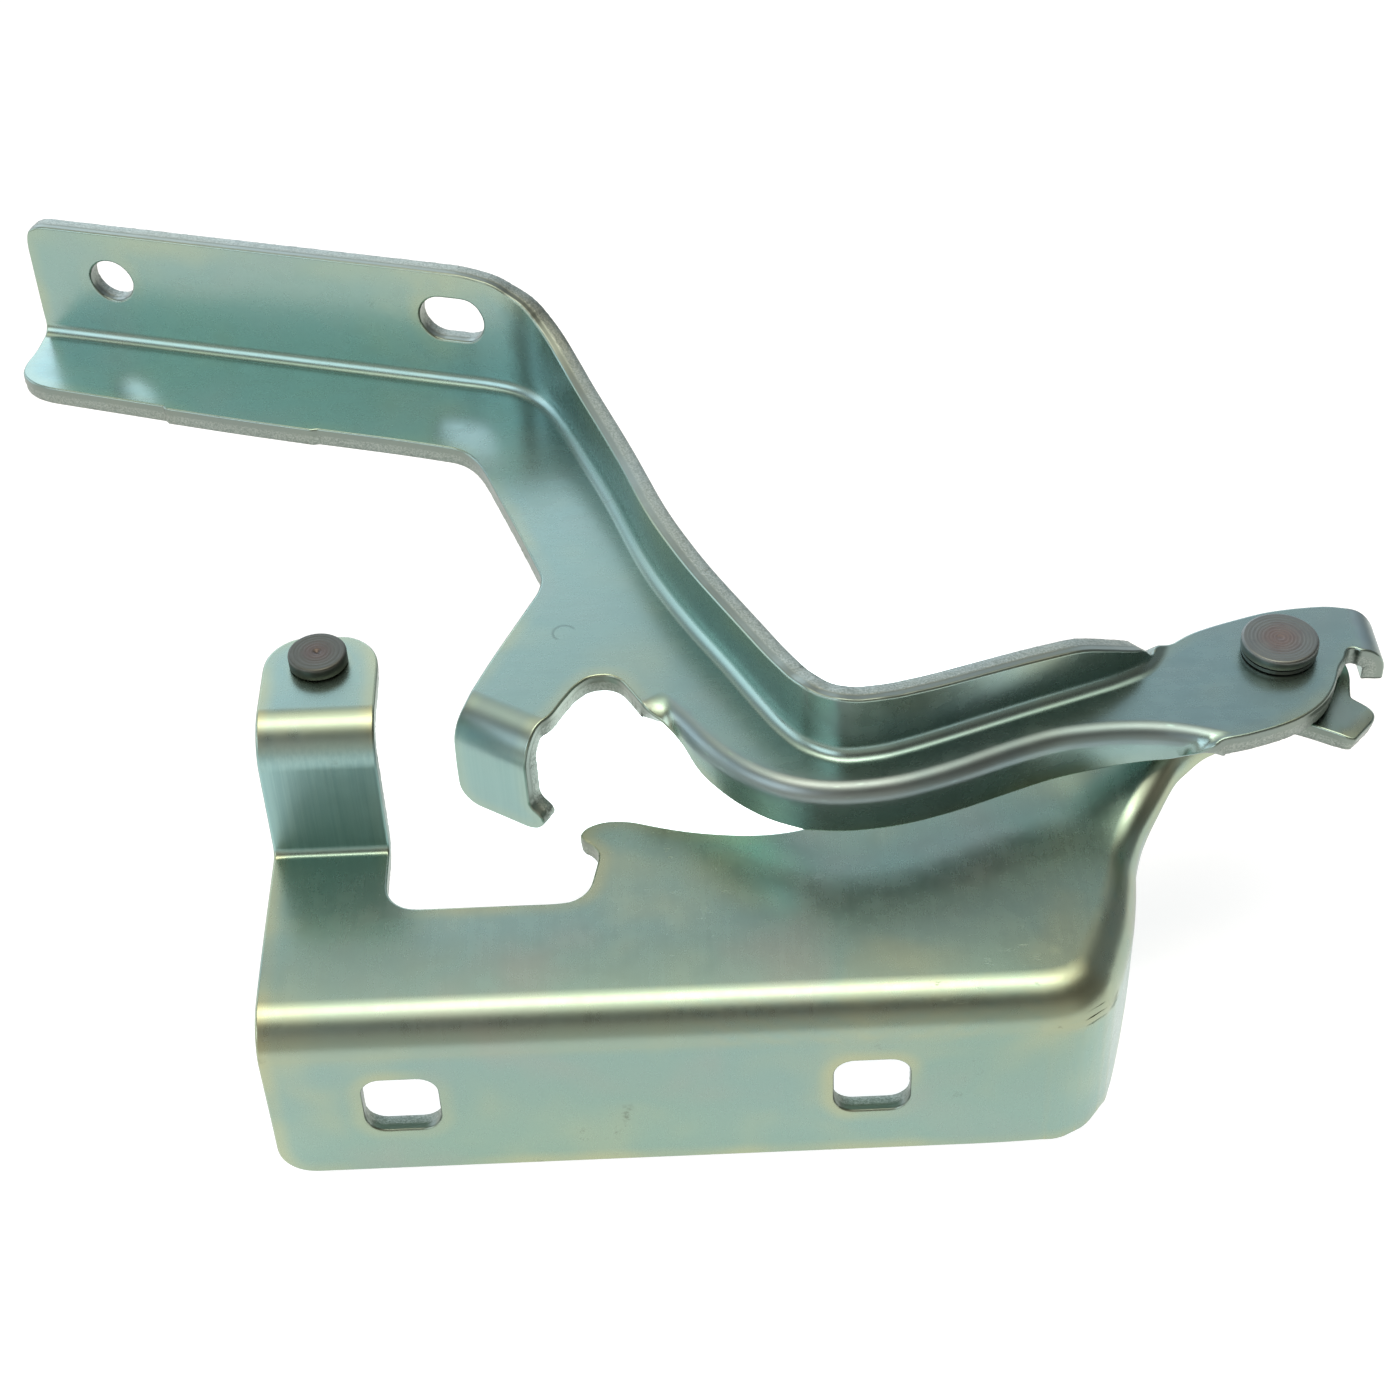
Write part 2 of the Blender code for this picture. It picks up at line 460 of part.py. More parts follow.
def make_small(rivet_mat, stud_mat, brass, washer_mat, pivot):
    z0 = -FLANGE_MIDDLE[2]
    top = ARM_TOP_Z + z0
    ear = PIVOT_EAR_Z + z0
    at = (pivot.location.x, pivot.location.y, 0)
    head = top + 2 * GAP + 0.7
    under = ear - BRACKET_T - GAP
    turned("pivot_rivet", [(0, under - 2.4), (3.6, under - 2.4), (5.4, under - 1.7), (6.0, under - 0.7), (6.0, under),
                           (SHANK_R, under), (SHANK_R, head), (HEAD_R, head), (HEAD_R, head + 1.7),
                           (HEAD_R - 0.5, head + 2.1), (0, head + 2.1)], rivet_mat, None, at, 40)
    turned("pivot_bush", [(SHANK_R + GAP, ear + 2 * GAP + 0.7), (BUSH_R, ear + 2 * GAP + 0.7), (BUSH_R, top + GAP),
                          (HEAD_R - 0.2, top + GAP), (HEAD_R - 0.2, head - GAP), (SHANK_R + GAP, head - GAP)],
           brass, pivot, (0, 0, 0), 40)
    turned("thrust_washer", [(SHANK_R + GAP, ear + GAP), (WASHER_R, ear + GAP), (WASHER_R, ear + GAP + 0.6),
                             (SHANK_R + GAP, ear + GAP + 0.6)], washer_mat, None, at, 40)
    sz = EAR_Z + z0
    sx, sy = STUD_XY[0] - FLANGE_MIDDLE[0], STUD_XY[1] - FLANGE_MIDDLE[1]
    b = sz - BRACKET_T - GAP
    ball = [(5.0 * math.cos(math.radians(a)), b - 9.0 + 5.0 * math.sin(math.radians(a))) for a in (-72, -52, -30, -10, 10, 30, 48)]
    turned("ear_stud", [(0, b - 13.76)] + ball + [(3.0, b - 3.6), (3.0, b - 1.8), (5.6, b - 1.8), (5.6, b),
                        (STUD_BORE_R - GAP, b), (STUD_BORE_R - GAP, sz + GAP), (5.25, sz + GAP), (5.25, sz + GAP + 1.9),
                        (4.85, sz + GAP + 2.4), (0, sz + GAP + 2.4)], stud_mat, None, (sx * MM, sy * MM, 0), 32)


for o in list(bpy.data.objects):
    bpy.data.objects.remove(o, do_unlink=True)
HINGE = bpy.data.collections.new("bonnet_hinge")
bpy.context.scene.collection.children.link(HINGE)

zinc = material("zinc_plate_bracket", (0.42, 0.55, 0.53), 0.28, 1.0)
zinc_arm = material("zinc_plate_arm", (0.40, 0.53, 0.52), 0.28, 1.0)
steel = material("rivet_steel", (0.40, 0.37, 0.35), 0.38, 1.0)
stud_steel = material("stud_steel", (0.38, 0.35, 0.33), 0.38, 1.0)
bush_steel = material("bush_steel", (0.50, 0.55, 0.54), 0.35, 1.0)
washer_steel = material("washer_steel", (0.45, 0.46, 0.46), 0.4, 1.0)

pivot_empty = bpy.data.objects.new("pivot_axis", None)
pivot_empty.location = ((PIVOT[0] - FLANGE_MIDDLE[0]) * MM, (PIVOT[1] - FLANGE_MIDDLE[1]) * MM, 0)
pivot_empty.rotation_euler = (0, 0, -math.radians(REST_ANGLE))
HINGE.objects.link(pivot_empty)

make_bracket(zinc)
make_arm(zinc_arm, pivot_empty)
make_small(steel, stud_steel, bush_steel, washer_steel, pivot_empty)
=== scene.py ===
"""Bonnet hinge: two pressed, zinc plated steel plates on one rivet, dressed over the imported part.

The shapes below are drawn in millimetres in each plate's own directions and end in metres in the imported
part's frame. Each plate is a surface over its flat blank: a place on the blank goes in, its folded place
comes out. The sheared edge is a small profile carried round the blank's outline.
"""

import json
import math

import bpy
import numpy as np
from bpy.props import FloatProperty, FloatVectorProperty, PointerProperty
from mathutils import Matrix, Vector
from mathutils.geometry import delaunay_2d_cdt


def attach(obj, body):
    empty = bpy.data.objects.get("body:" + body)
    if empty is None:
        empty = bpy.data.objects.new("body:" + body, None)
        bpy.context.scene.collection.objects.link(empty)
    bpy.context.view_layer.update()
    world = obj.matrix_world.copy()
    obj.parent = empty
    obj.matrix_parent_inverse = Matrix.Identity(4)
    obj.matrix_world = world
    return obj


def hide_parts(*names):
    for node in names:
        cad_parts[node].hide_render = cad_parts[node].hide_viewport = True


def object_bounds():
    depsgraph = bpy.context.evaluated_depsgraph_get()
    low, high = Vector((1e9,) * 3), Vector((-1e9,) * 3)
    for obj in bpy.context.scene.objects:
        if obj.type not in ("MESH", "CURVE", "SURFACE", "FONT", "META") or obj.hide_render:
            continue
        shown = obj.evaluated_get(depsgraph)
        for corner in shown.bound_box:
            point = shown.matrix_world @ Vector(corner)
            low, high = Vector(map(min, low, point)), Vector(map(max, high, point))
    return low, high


bl_info = {
    "name": "Bonnet Hinge",
    "version": (1, 0, 0),
    "blender": (4, 5, 0),
    "location": "View3D > Sidebar > Hinge",
    "description": "Dresses the packed bonnet hinge: pressed plates, rivet, stud, finishes, floor and lights",
    "category": "Object",
}

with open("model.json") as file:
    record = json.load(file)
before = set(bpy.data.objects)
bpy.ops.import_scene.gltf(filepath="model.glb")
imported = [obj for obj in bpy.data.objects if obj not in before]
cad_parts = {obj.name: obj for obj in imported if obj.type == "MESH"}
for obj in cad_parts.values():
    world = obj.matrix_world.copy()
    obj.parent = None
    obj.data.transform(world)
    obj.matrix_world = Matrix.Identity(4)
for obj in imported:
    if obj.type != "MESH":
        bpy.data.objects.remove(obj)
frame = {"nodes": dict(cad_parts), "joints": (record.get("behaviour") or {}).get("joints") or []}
CAD_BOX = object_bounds()
MM = 0.001
PIVOT = np.array(frame["joints"][0]["pos_m"]) / MM  # millimetres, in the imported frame
WEB_SHIFT = np.array([14.0, 79.3, 19.9])  # from the bracket web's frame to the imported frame
FLANGE_LINE_Y = -71.3  # where the body flange's bend starts, in the bracket web's frame
PIVOT_EAR = 11.8  # heights over the bracket's web
ARM_TOP = 17.0
STUD_EAR = 28.0
STUD = (-67.5, -17.0)  # the stud's place, in the bracket web's frame
GAP = 0.3  # play between the turned pieces and the plates
LEAN = 15.8  # degrees that the arm's bonnet flange leans from the body flange


# Sizes and colours

def colour_value(name, description, default):
    return FloatVectorProperty(name=name, description=description, subtype="COLOR", default=default, min=0,
                               max=1)


class HingeSizes(bpy.types.PropertyGroup):
    bracket_sheet: FloatProperty(name="Bracket sheet", description="Thickness of the bracket's steel",
                                 default=0.0035, min=0.001, unit="LENGTH")
    arm_sheet: FloatProperty(name="Arm sheet", description="Thickness of the arm's steel", default=0.004,
                             min=0.001, unit="LENGTH")
    rolled_edge: FloatProperty(name="Rolled edge", description="Radius that the press draws along a cut edge",
                               default=0.0005, min=0.0001, unit="LENGTH")
    mesh_step: FloatProperty(name="Mesh step",
                             description="Distance between mesh points on the flat of a plate",
                             default=0.0016, min=0.0008, unit="LENGTH")
    head_rings: FloatProperty(name="Turning rings",
                              description="Depth of the rings on the rivet's and stud's heads",
                              default=0.00001, min=0, unit="LENGTH")


class HingeColours(bpy.types.PropertyGroup):
    zinc: colour_value("Zinc", "Main colour of the passivated zinc", (0.265, 0.39, 0.32))
    zinc_blue: colour_value("Zinc, blue", "Colour where the film is thin", (0.25, 0.385, 0.41))
    zinc_straw: colour_value("Zinc, straw", "Colour where the film is thick, near edges", (0.46, 0.47, 0.28))
    zinc_rose: colour_value("Zinc, rose", "Colour between straw and blue", (0.40, 0.36, 0.32))
    # Painted highlight tint: on the bracket's bends this colour makes their highlight cream.
    zinc_bend_highlight_tint: colour_value("Zinc, bends", "Colour where the press has bent the sheet", (0.38, 0.41, 0.275))
    # Painted shade: on the arm's bends this darker, bluer colour dims and cools their highlight.
    zinc_arm_bend_shade: colour_value("Zinc, arm bend shade", "Painted shade on the arm's bends, dimming their highlight",
                              (0.21, 0.275, 0.285))
    cut: colour_value("Cut edge", "Colour of the sheared edge", (0.19, 0.215, 0.19))
    steel: colour_value("Turned steel", "Colour of the rivet's and stud's heads", (0.17, 0.19, 0.18))
    steel_brown: colour_value("Turned steel, brown", "Colour at the middle of a turned head",
                              (0.19, 0.15, 0.135))
    stud: colour_value("Stud", "Colour of the stud's duller head", (0.10, 0.108, 0.095))
    stud_brown: colour_value("Stud, brown", "Colour at the middle of the stud's head", (0.11, 0.09, 0.08))
    floor: colour_value("Floor", "Colour of the floor", (0.50, 0.50, 0.50))


class HingeStage(bpy.types.PropertyGroup):
    camera_elevation: FloatProperty(name="Camera elevation", description="Camera's height as an angle",
                                    default=math.radians(42.0), subtype="ANGLE")
    camera_roll: FloatProperty(name="Camera roll", description="Turn of the picture about the line of sight",
                               default=math.radians(2.4), subtype="ANGLE")
    camera_distance: FloatProperty(name="Camera distance", description="From the camera to the bracket's web",
                                   default=0.494, unit="LENGTH")
    lens: FloatProperty(name="Lens", description="Focal length on a 36 mm picture", default=66.857)
    top_lamp: FloatProperty(name="Top lamp", description="Power of the lamp overhead, in watts", default=1.5,
                            min=0)
    room: FloatProperty(name="Room light", description="Strength of the room's own light", default=2.3, min=0)


# Curves and outlines

def smooth(t):
    """Zero below 0, one above 1, and the cubic 3t^2 - 2t^3 between."""
    t = np.clip(t, 0, 1)
    return t * t * (3 - 2 * t)


def spline(points, step=1.0):
    """Points evenly spaced along a Catmull-Rom curve through the points given."""
    p = np.array(points, float)
    p = np.vstack([2 * p[0] - p[1], p, 2 * p[-1] - p[-2]])
    t = np.linspace(0, 1, 25)[None, :-1, None]
    a, b, c, d = (x[:, None] for x in (p[:-3], p[1:-2], p[2:-1], p[3:]))
    q = 0.5 * (2 * b + (c - a) * t + (2 * a - 5 * b + 4 * c - d) * t**2 + (3 * b - a - 3 * c + d) * t**3)
    q = np.vstack([q.reshape(-1, 2), p[-2:-1]])
    s = np.r_[0, np.cumsum(np.hypot(*np.diff(q, axis=0).T))]
    u = np.linspace(0, s[-1], max(2, int(round(s[-1] / step)) + 1))
    return np.stack([np.interp(u, s, q[:, 0]), np.interp(u, s, q[:, 1])], 1)


class BendLine:
    """A bend line on the flat blank. Points to the right of its direction are past it."""

    def __init__(self, points, step=1.0):
        self.p = spline(points, step)
        d = np.gradient(self.p, axis=0)
        d /= np.hypot(*d.T)[:, None]
        self.n = np.stack([d[:, 1], -d[:, 0]], 1)
        self.s = np.r_[0, np.cumsum(np.hypot(*np.diff(self.p, axis=0).T))]
        self.turn = (np.gradient(self.n, self.s, axis=0) * d).sum(1)

    def at(self, s):
        """The line's point and normal at each length along it."""
        foot = np.stack([np.interp(s, self.s, self.p[:, k]) for k in (0, 1)], 1)
        n = np.stack([np.interp(s, self.s, self.n[:, k]) for k in (0, 1)], 1)
        return foot, n / np.hypot(*n.T)[:, None]

    def near(self, q):
        """For each point: its length along the line, the foot of the shortest way to it, the normal there and
        the signed distance. From the nearest segment the foot slides along by Newton's rule, until the way
        meets the line squarely: the share of the way that runs along the line, over 1 + turn times
        distance."""
        q = np.atleast_2d(np.asarray(q, float))
        a, ab = self.p[:-1], np.diff(self.p, axis=0)
        parts = []
        for block in np.array_split(q, max(1, len(q) // 3000)):
            t = np.clip(((block[:, None] - a) * ab).sum(2) / (ab**2).sum(1), 0, 1)
            foot = a + t[..., None] * ab
            i = ((block[:, None] - foot) ** 2).sum(2).argmin(1)
            parts.append(self.s[i] + t[np.arange(len(block)), i] * (self.s[i + 1] - self.s[i]))
        s = np.concatenate(parts)
        for _ in range(8):
            foot, n = self.at(s)
            d = q - foot
            along = d[:, 1] * n[:, 0] - d[:, 0] * n[:, 1]
            step = along / np.clip(1 + np.interp(s, self.s, self.turn) * (d * n).sum(1), 0.3, 8)
            s = np.clip(s + np.clip(step, -1, 1), 0, self.s[-1])
        foot, n = self.at(s)
        return s, foot, n, ((q - foot) * n).sum(1)

    def off(self, q, d):
        """The point at distance d from the line, beside the point q."""
        _, foot, n, _ = self.near(q)
        return (foot + n * d)[0]

    def beside(self, distances, every):
        """One row of points for each distance from the line, with every so many of the line's own points."""
        pick = np.unique(np.r_[np.arange(0, len(self.p), every), len(self.p) - 1])
        return [self.p[pick] + self.n[pick] * d for d in distances]


def arc(cx, cy, r, a0, a1, n):
    """n points round a centre, from one angle to the other in degrees."""
    a = np.radians(np.linspace(a0, a1, n))
    return np.stack([cx + r * np.cos(a), cy + r * np.sin(a)], 1).tolist()


def rounded_box(cx, cy, w, h, r, squash=1.0, n=9):
    """Four quarter circles joined by straights. squash narrows it on the blank."""
    out = []
    for sx, sy, a in ((1, -1, -90), (1, 1, 0), (-1, 1, 90), (-1, -1, 180)):
        out += arc(cx + sx * (w / 2 - r), cy + sy * (h / 2 - r), r, a, a + 90, n)
    out = np.array(out)
    out[:, 1] = cy + (out[:, 1] - cy) * squash
    return out


def counterclockwise(loop):
    """The loop turned so that its shoelace area is positive."""
    x, y = loop.T
    return loop if (x * np.roll(y, -1) - y * np.roll(x, -1)).sum() > 0 else loop[::-1]


def rounded_loop(loop, step, sharp=0.7, soft=7.0, sharp_turn=50.0):
    """Each corner becomes a parabola from a point before it to a point after it, and points no more than step
    apart fill the straights. The cut on each side is half the shorter neighbour, at most soft, or sharp where
    the turn is sharp."""
    p = np.array(loop, float)
    back, ahead = np.roll(p, 1, 0) - p, np.roll(p, -1, 0) - p
    lb, la = np.hypot(*back.T), np.hypot(*ahead.T)
    turn = np.degrees(np.arccos(np.clip(-(back * ahead).sum(1) / (lb * la), -1, 1)))
    cut = np.minimum(np.minimum(lb, la) / 2, np.where(turn > sharp_turn, sharp, soft))[:, None]
    a, b = p + back / lb[:, None] * cut, p + ahead / la[:, None] * cut
    t = np.linspace(0, 1, 6)[None, :, None]
    q = ((1 - t) ** 2 * a[:, None] + 2 * t * (1 - t) * p[:, None] + t**2 * b[:, None]).reshape(-1, 2)
    return spaced(q, step)


def spaced(q, step):
    """The loop's own points and points every step along it, less those that fall too close together."""
    ring = np.vstack([q, q[:1]])
    s = np.r_[0, np.cumsum(np.hypot(*np.diff(ring, axis=0).T))]
    u = np.sort(np.r_[s[:-1], np.arange(0, s[-1], step)])
    u = u[np.r_[True, np.diff(u) > 0.16 * step]]
    u = u[s[-1] - u > 0.16 * step]
    return np.stack([np.interp(u, s, ring[:, 0]), np.interp(u, s, ring[:, 1])], 1)


def drawn_in(loop, inset, place):
    """The loop moved towards the metal so that it lies inset from the cut edge once folded: the distance on
    the blank is the inset over the fold's own stretch there."""
    d = np.roll(loop, -1, 0) - np.roll(loop, 1, 0)
    d /= np.maximum(np.hypot(*d.T), 1e-9)[:, None]
    out = np.stack([d[:, 1], -d[:, 0]], 1)
    stretch = np.linalg.norm(place(loop) - place(loop - 0.1 * out), axis=1) / 0.1
    return loop - out * (inset / np.clip(stretch, 0.8, 2.2))[:, None]


def inside(points, loops):
    """Whether each point is in the first loop and in no other, by counting the edges to its right."""
    out = None
    for loop in loops:
        a, b = loop, np.roll(loop, -1, 0)
        hit = np.zeros(len(points), int)
        for k in np.array_split(np.arange(len(points)), max(1, len(points) // 4000)):
            x, y = points[k, 0][:, None], points[k, 1][:, None]
            cross = (a[:, 1] > y) != (b[:, 1] > y)
            dy = np.where(b[:, 1] == a[:, 1], 1e-12, b[:, 1] - a[:, 1])
            hit[k] = (cross & (x < (b[:, 0] - a[:, 0]) * (y - a[:, 1]) / dy + a[:, 0])).sum(1)
        out = hit % 2 == 1 if out is None else out & (hit % 2 == 0)
    return out


def nearest(points, others):
    """Distance from each point to the nearest of the others."""
    blocks = np.array_split(points, len(points) // 2000 + 1)
    return np.concatenate([np.sqrt(((b[:, None] - others) ** 2).sum(2).min(1)) for b in blocks])


def early_lean(d, r, lean, early):
    """How much a bend that leans a little before its line adds along and up. The lean grows from zero at the
    distance early before the line, and what it adds to the angle past the line falls from lean to minus
    lean."""
    a, k = np.clip(d / r, 0, math.pi / 2), 2 / math.pi
    before = lean * np.clip(d + early, 0, early) ** 2 / (2 * early)
    along = -lean * r * ((1 - np.cos(a)) - k * (np.sin(a) - a * np.cos(a)))
    up = before + lean * r * (np.sin(a) - k * (a * np.sin(a) + np.cos(a) - 1))
    return along, up


def fold(q, p, z, line, radius, up, keep, squash=1.0, angle=90.0):
    """Past the bend line a place goes round a quarter circle and then straight on: r sin a along and
    r (1 - cos a) up, with a the distance past the line over the radius."""
    s, foot, n, d = line.near(q)
    m = (d > 0) & keep(q)
    r = radius(s) if callable(radius) else np.full(len(q), float(radius))
    d = d / squash
    full = np.radians(angle(s) if callable(angle) else np.full(len(q), float(angle)))
    a = np.minimum(d / r, full)
    rest = np.maximum(d - r * full, 0)
    w = r * np.sin(a) + rest * np.cos(full)
    h = r * (1 - np.cos(a)) + rest * np.sin(full)
    p, z = p.copy(), z.copy()
    p[m] = (foot + n * w[:, None])[m]
    z[m] += up * h[m]
    return p, z


# Pressed plates

def unit(v):
    return v / np.maximum(np.linalg.norm(v, axis=1), 1e-12)[:, None]


def blank_mesh(loops, rows, spots, step):
    """Triangles over the flat blank: an even grid of points in offset rows, with the outline, the holes and
    the bend rows kept as edges."""
    lo, hi = loops[0].min(0), loops[0].max(0)
    x, y = np.meshgrid(np.arange(lo[0], hi[0], step), np.arange(lo[1], hi[1], step * 0.87))
    x = x + (np.arange(len(x)) % 2)[:, None] * step / 2
    grid = np.stack([x.ravel(), y.ravel()], 1)
    grid = grid[inside(grid, loops)]
    fixed = np.vstack(loops + rows + ([spots] if len(spots) else []))
    grid = grid[nearest(grid, fixed) > 0.6 * step]
    points = np.vstack([fixed, grid])
    edges, k = [], 0
    for loop in loops:
        i = np.arange(len(loop))
        edges += np.stack([k + i, k + (i + 1) % len(loop)], 1).tolist()
        k += len(loop)
    for row in rows:
        i = np.arange(len(row) - 1)
        edges += np.stack([k + i, k + i + 1], 1).tolist()
        k += len(row)
    v, _, f, _, _, _ = delaunay_2d_cdt([Vector(p) for p in points.tolist()], edges, [], 0, 1e-5)
    v, f = np.array([p[:] for p in v]), np.array([t for t in f if len(t) == 3])
    f = f[inside(v[f].mean(1), loops)]
    used, f = np.unique(f, return_inverse=True)
    return v[used], f.reshape(-1, 3)


def pressed_plate(name, outline, holes, rows, spots, place, sheet, roll, step, seed, drawn, mark=None):
    """A plate from its blank: the drawn face is place(u, v), the other face lies one thickness below along
    the normal, and the sheared edge is a profile carried round the outline. The profile rolls over by a
    quarter circle, runs square for a third of the sheet, and then breaks back a little to a small burr."""
    loops = [counterclockwise(rounded_loop(outline, 0.8))]
    loops += [counterclockwise(spaced(h, 0.7))[::-1] for h in holes]
    loops = [drawn_in(loop, roll, place) for loop in loops]
    v, f = blank_mesh(loops, rows, spots, step)
    n = len(v)
    p = place(v)
    e = 0.04
    du = place(v + [e, 0]) - place(v - [e, 0])
    dv = place(v + [0, e]) - place(v - [0, e])
    smooth_n = unit(np.cross(du, dv))
    face_n = np.cross(p[f[:, 1]] - p[f[:, 0]], p[f[:, 2]] - p[f[:, 0]])
    mesh_n = np.zeros_like(p)
    for k in range(3):
        np.add.at(mesh_n, f[:, k], face_n)
    mesh_n = unit(mesh_n)
    up = np.where(((smooth_n * mesh_n).sum(1) > 0.85)[:, None], smooth_n, mesh_n)

    e1 = np.vstack([f[:, [0, 1]], f[:, [1, 2]], f[:, [2, 0]]])
    key = e1.min(1) * n + e1.max(1)
    _, first, count = np.unique(key, return_index=True, return_counts=True)
    rim = e1[first[count == 1]]  # each with the metal on its left
    ids = np.unique(rim)
    ahead, behind, rank = np.zeros(n, int), np.zeros(n, int), np.zeros(n, int)
    ahead[rim[:, 0]], behind[rim[:, 1]] = rim[:, 1], rim[:, 0]
    rank[ids] = np.arange(len(ids))
    along = unit(p[ahead[ids]] - p[behind[ids]])
    out = unit(np.cross(along, up[ids]))

    a = np.radians([30, 60, 90])
    reach = np.r_[roll * np.sin(a), roll, roll - 0.05, roll - 0.13, roll - 0.16, roll - 0.28]
    depth = np.r_[roll * (1 - np.cos(a)), sheet * 0.36, sheet * 0.52, sheet * 0.72, sheet - 0.14, sheet]
    lean = np.radians([60, 30, 0, 0, -4, -6, -25, -70])
    rng = np.random.default_rng(seed)
    rough = rng.normal(0, 1, (len(ids), len(reach))) * np.array([0, 0, 0, 0.01, 0.035, 0.045, 0.03, 0.0])
    rings = [p[ids] + out * (reach[k] + rough[:, k])[:, None] - up[ids] * depth[k] for k in range(len(reach))]
    ring_n = [out * math.cos(t) + up[ids] * math.sin(t) for t in lean]
    co = np.vstack([p] + rings + [p - up * sheet])
    normals = np.vstack([up] + ring_n + [-up])
    nb, base = len(ids), n + len(ids) * len(rings)
    chain = [ids] + [n + nb * k + np.arange(nb) for k in range(len(rings))] + [base + ids]
    quads = [np.stack([u[rank[rim[:, 0]]], w[rank[rim[:, 0]]], w[rank[rim[:, 1]]], u[rank[rim[:, 1]]]], 1)
             for u, w in zip(chain[:-1], chain[1:])]

    edge = np.clip(nearest(v, np.vstack(loops)), 0, 30)
    both = np.stack([f[:, [0, 1]], f[:, [1, 2]], f[:, [2, 0]]], 1).reshape(-1, 2)
    dp, dn = p[both[:, 1]] - p[both[:, 0]], up[both[:, 1]] - up[both[:, 0]]
    curve = (dp * dn).sum(1) / np.maximum((dp**2).sum(1), 1e-9)
    total, times = np.zeros(n), np.zeros(n)
    for k in range(2):
        np.add.at(total, both[:, k], curve)
        np.add.at(times, both[:, k], 1)
    bend = np.clip(total / np.maximum(times, 1), -0.5, 0.5)
    # On steep drawn walls the colour is paled, a painted reflection; the scores are real.
    walls, marks = drawn(v) * smooth((0.8 - np.abs(up[:, 2])) / 0.5), mark(v) if mark else np.zeros(n)
    walls, marks = (np.r_[x, np.tile(x[ids], len(rings)), x] for x in (walls, marks))
    cut_depth = np.r_[np.zeros(n), np.repeat(depth / sheet, nb), np.zeros(n)]
    cut_depth[n:n + nb] = 0.02
    edge = np.r_[edge, np.zeros(nb * len(rings)), edge]
    bend = np.r_[bend, np.zeros(nb * len(rings)), -bend]
    me = solid_mesh(name, co * MM, [f, np.vstack(quads), f[:, ::-1] + base], normals)
    # The press ring's attribute holds painted shade.
    for label, values in (("edge_distance", edge), ("cut_depth", cut_depth), ("bend", bend), ("drawn", walls),
                          ("press_ring_shade", marks)):
        me.attributes.new(label, "FLOAT", "POINT").data.foreach_set("value", values.astype(np.float32))
    return me


def solid_mesh(name, co, faces, normals=None):
    """A mesh from an array of places in metres and arrays of faces, smooth shaded, with its own vertex
    normals if given."""
    me = bpy.data.meshes.new(name)
    loops = np.concatenate([x.ravel() for x in faces])
    sizes = np.concatenate([np.full(len(x), x.shape[1]) for x in faces])
    me.vertices.add(len(co))
    me.vertices.foreach_set("co", co.astype(np.float32).ravel())
    me.loops.add(len(loops))
    me.loops.foreach_set("vertex_index", loops.astype(np.int32))
    me.polygons.add(len(sizes))
    me.polygons.foreach_set("loop_start", np.r_[0, np.cumsum(sizes)[:-1]].astype(np.int32))
    me.polygons.foreach_set("loop_total", sizes.astype(np.int32))
    me.polygons.foreach_set("use_smooth", np.ones(len(sizes), bool))
    me.update(calc_edges=True)
    me.validate()
    if normals is not None:
        me.normals_split_custom_set_from_vertices(normals.tolist())
    return me


def bracket_bend():
    """The bracket's main bend line: along the body flange, round the corner and up the side to the stop
    tab."""
    y = FLANGE_LINE_Y
    return BendLine([(-90, y), (-60, y), (-20, y), (20, y), (52, y), (58.2, -71.1), (61.4, -69.6),
                     (62.9, -66.8), (64.9, -62.4), (67.5, -56.5), (69.8, -49.6), (71.4, -43.6), (74.3, -36.8),
                     (78.6, -31.0), (82.5, -26.6), (86.6, -24.1), (90.4, -22.4), (94.6, -21.8), (98.4, -22.6),
                     (102.6, -25.4), (107, -30)])


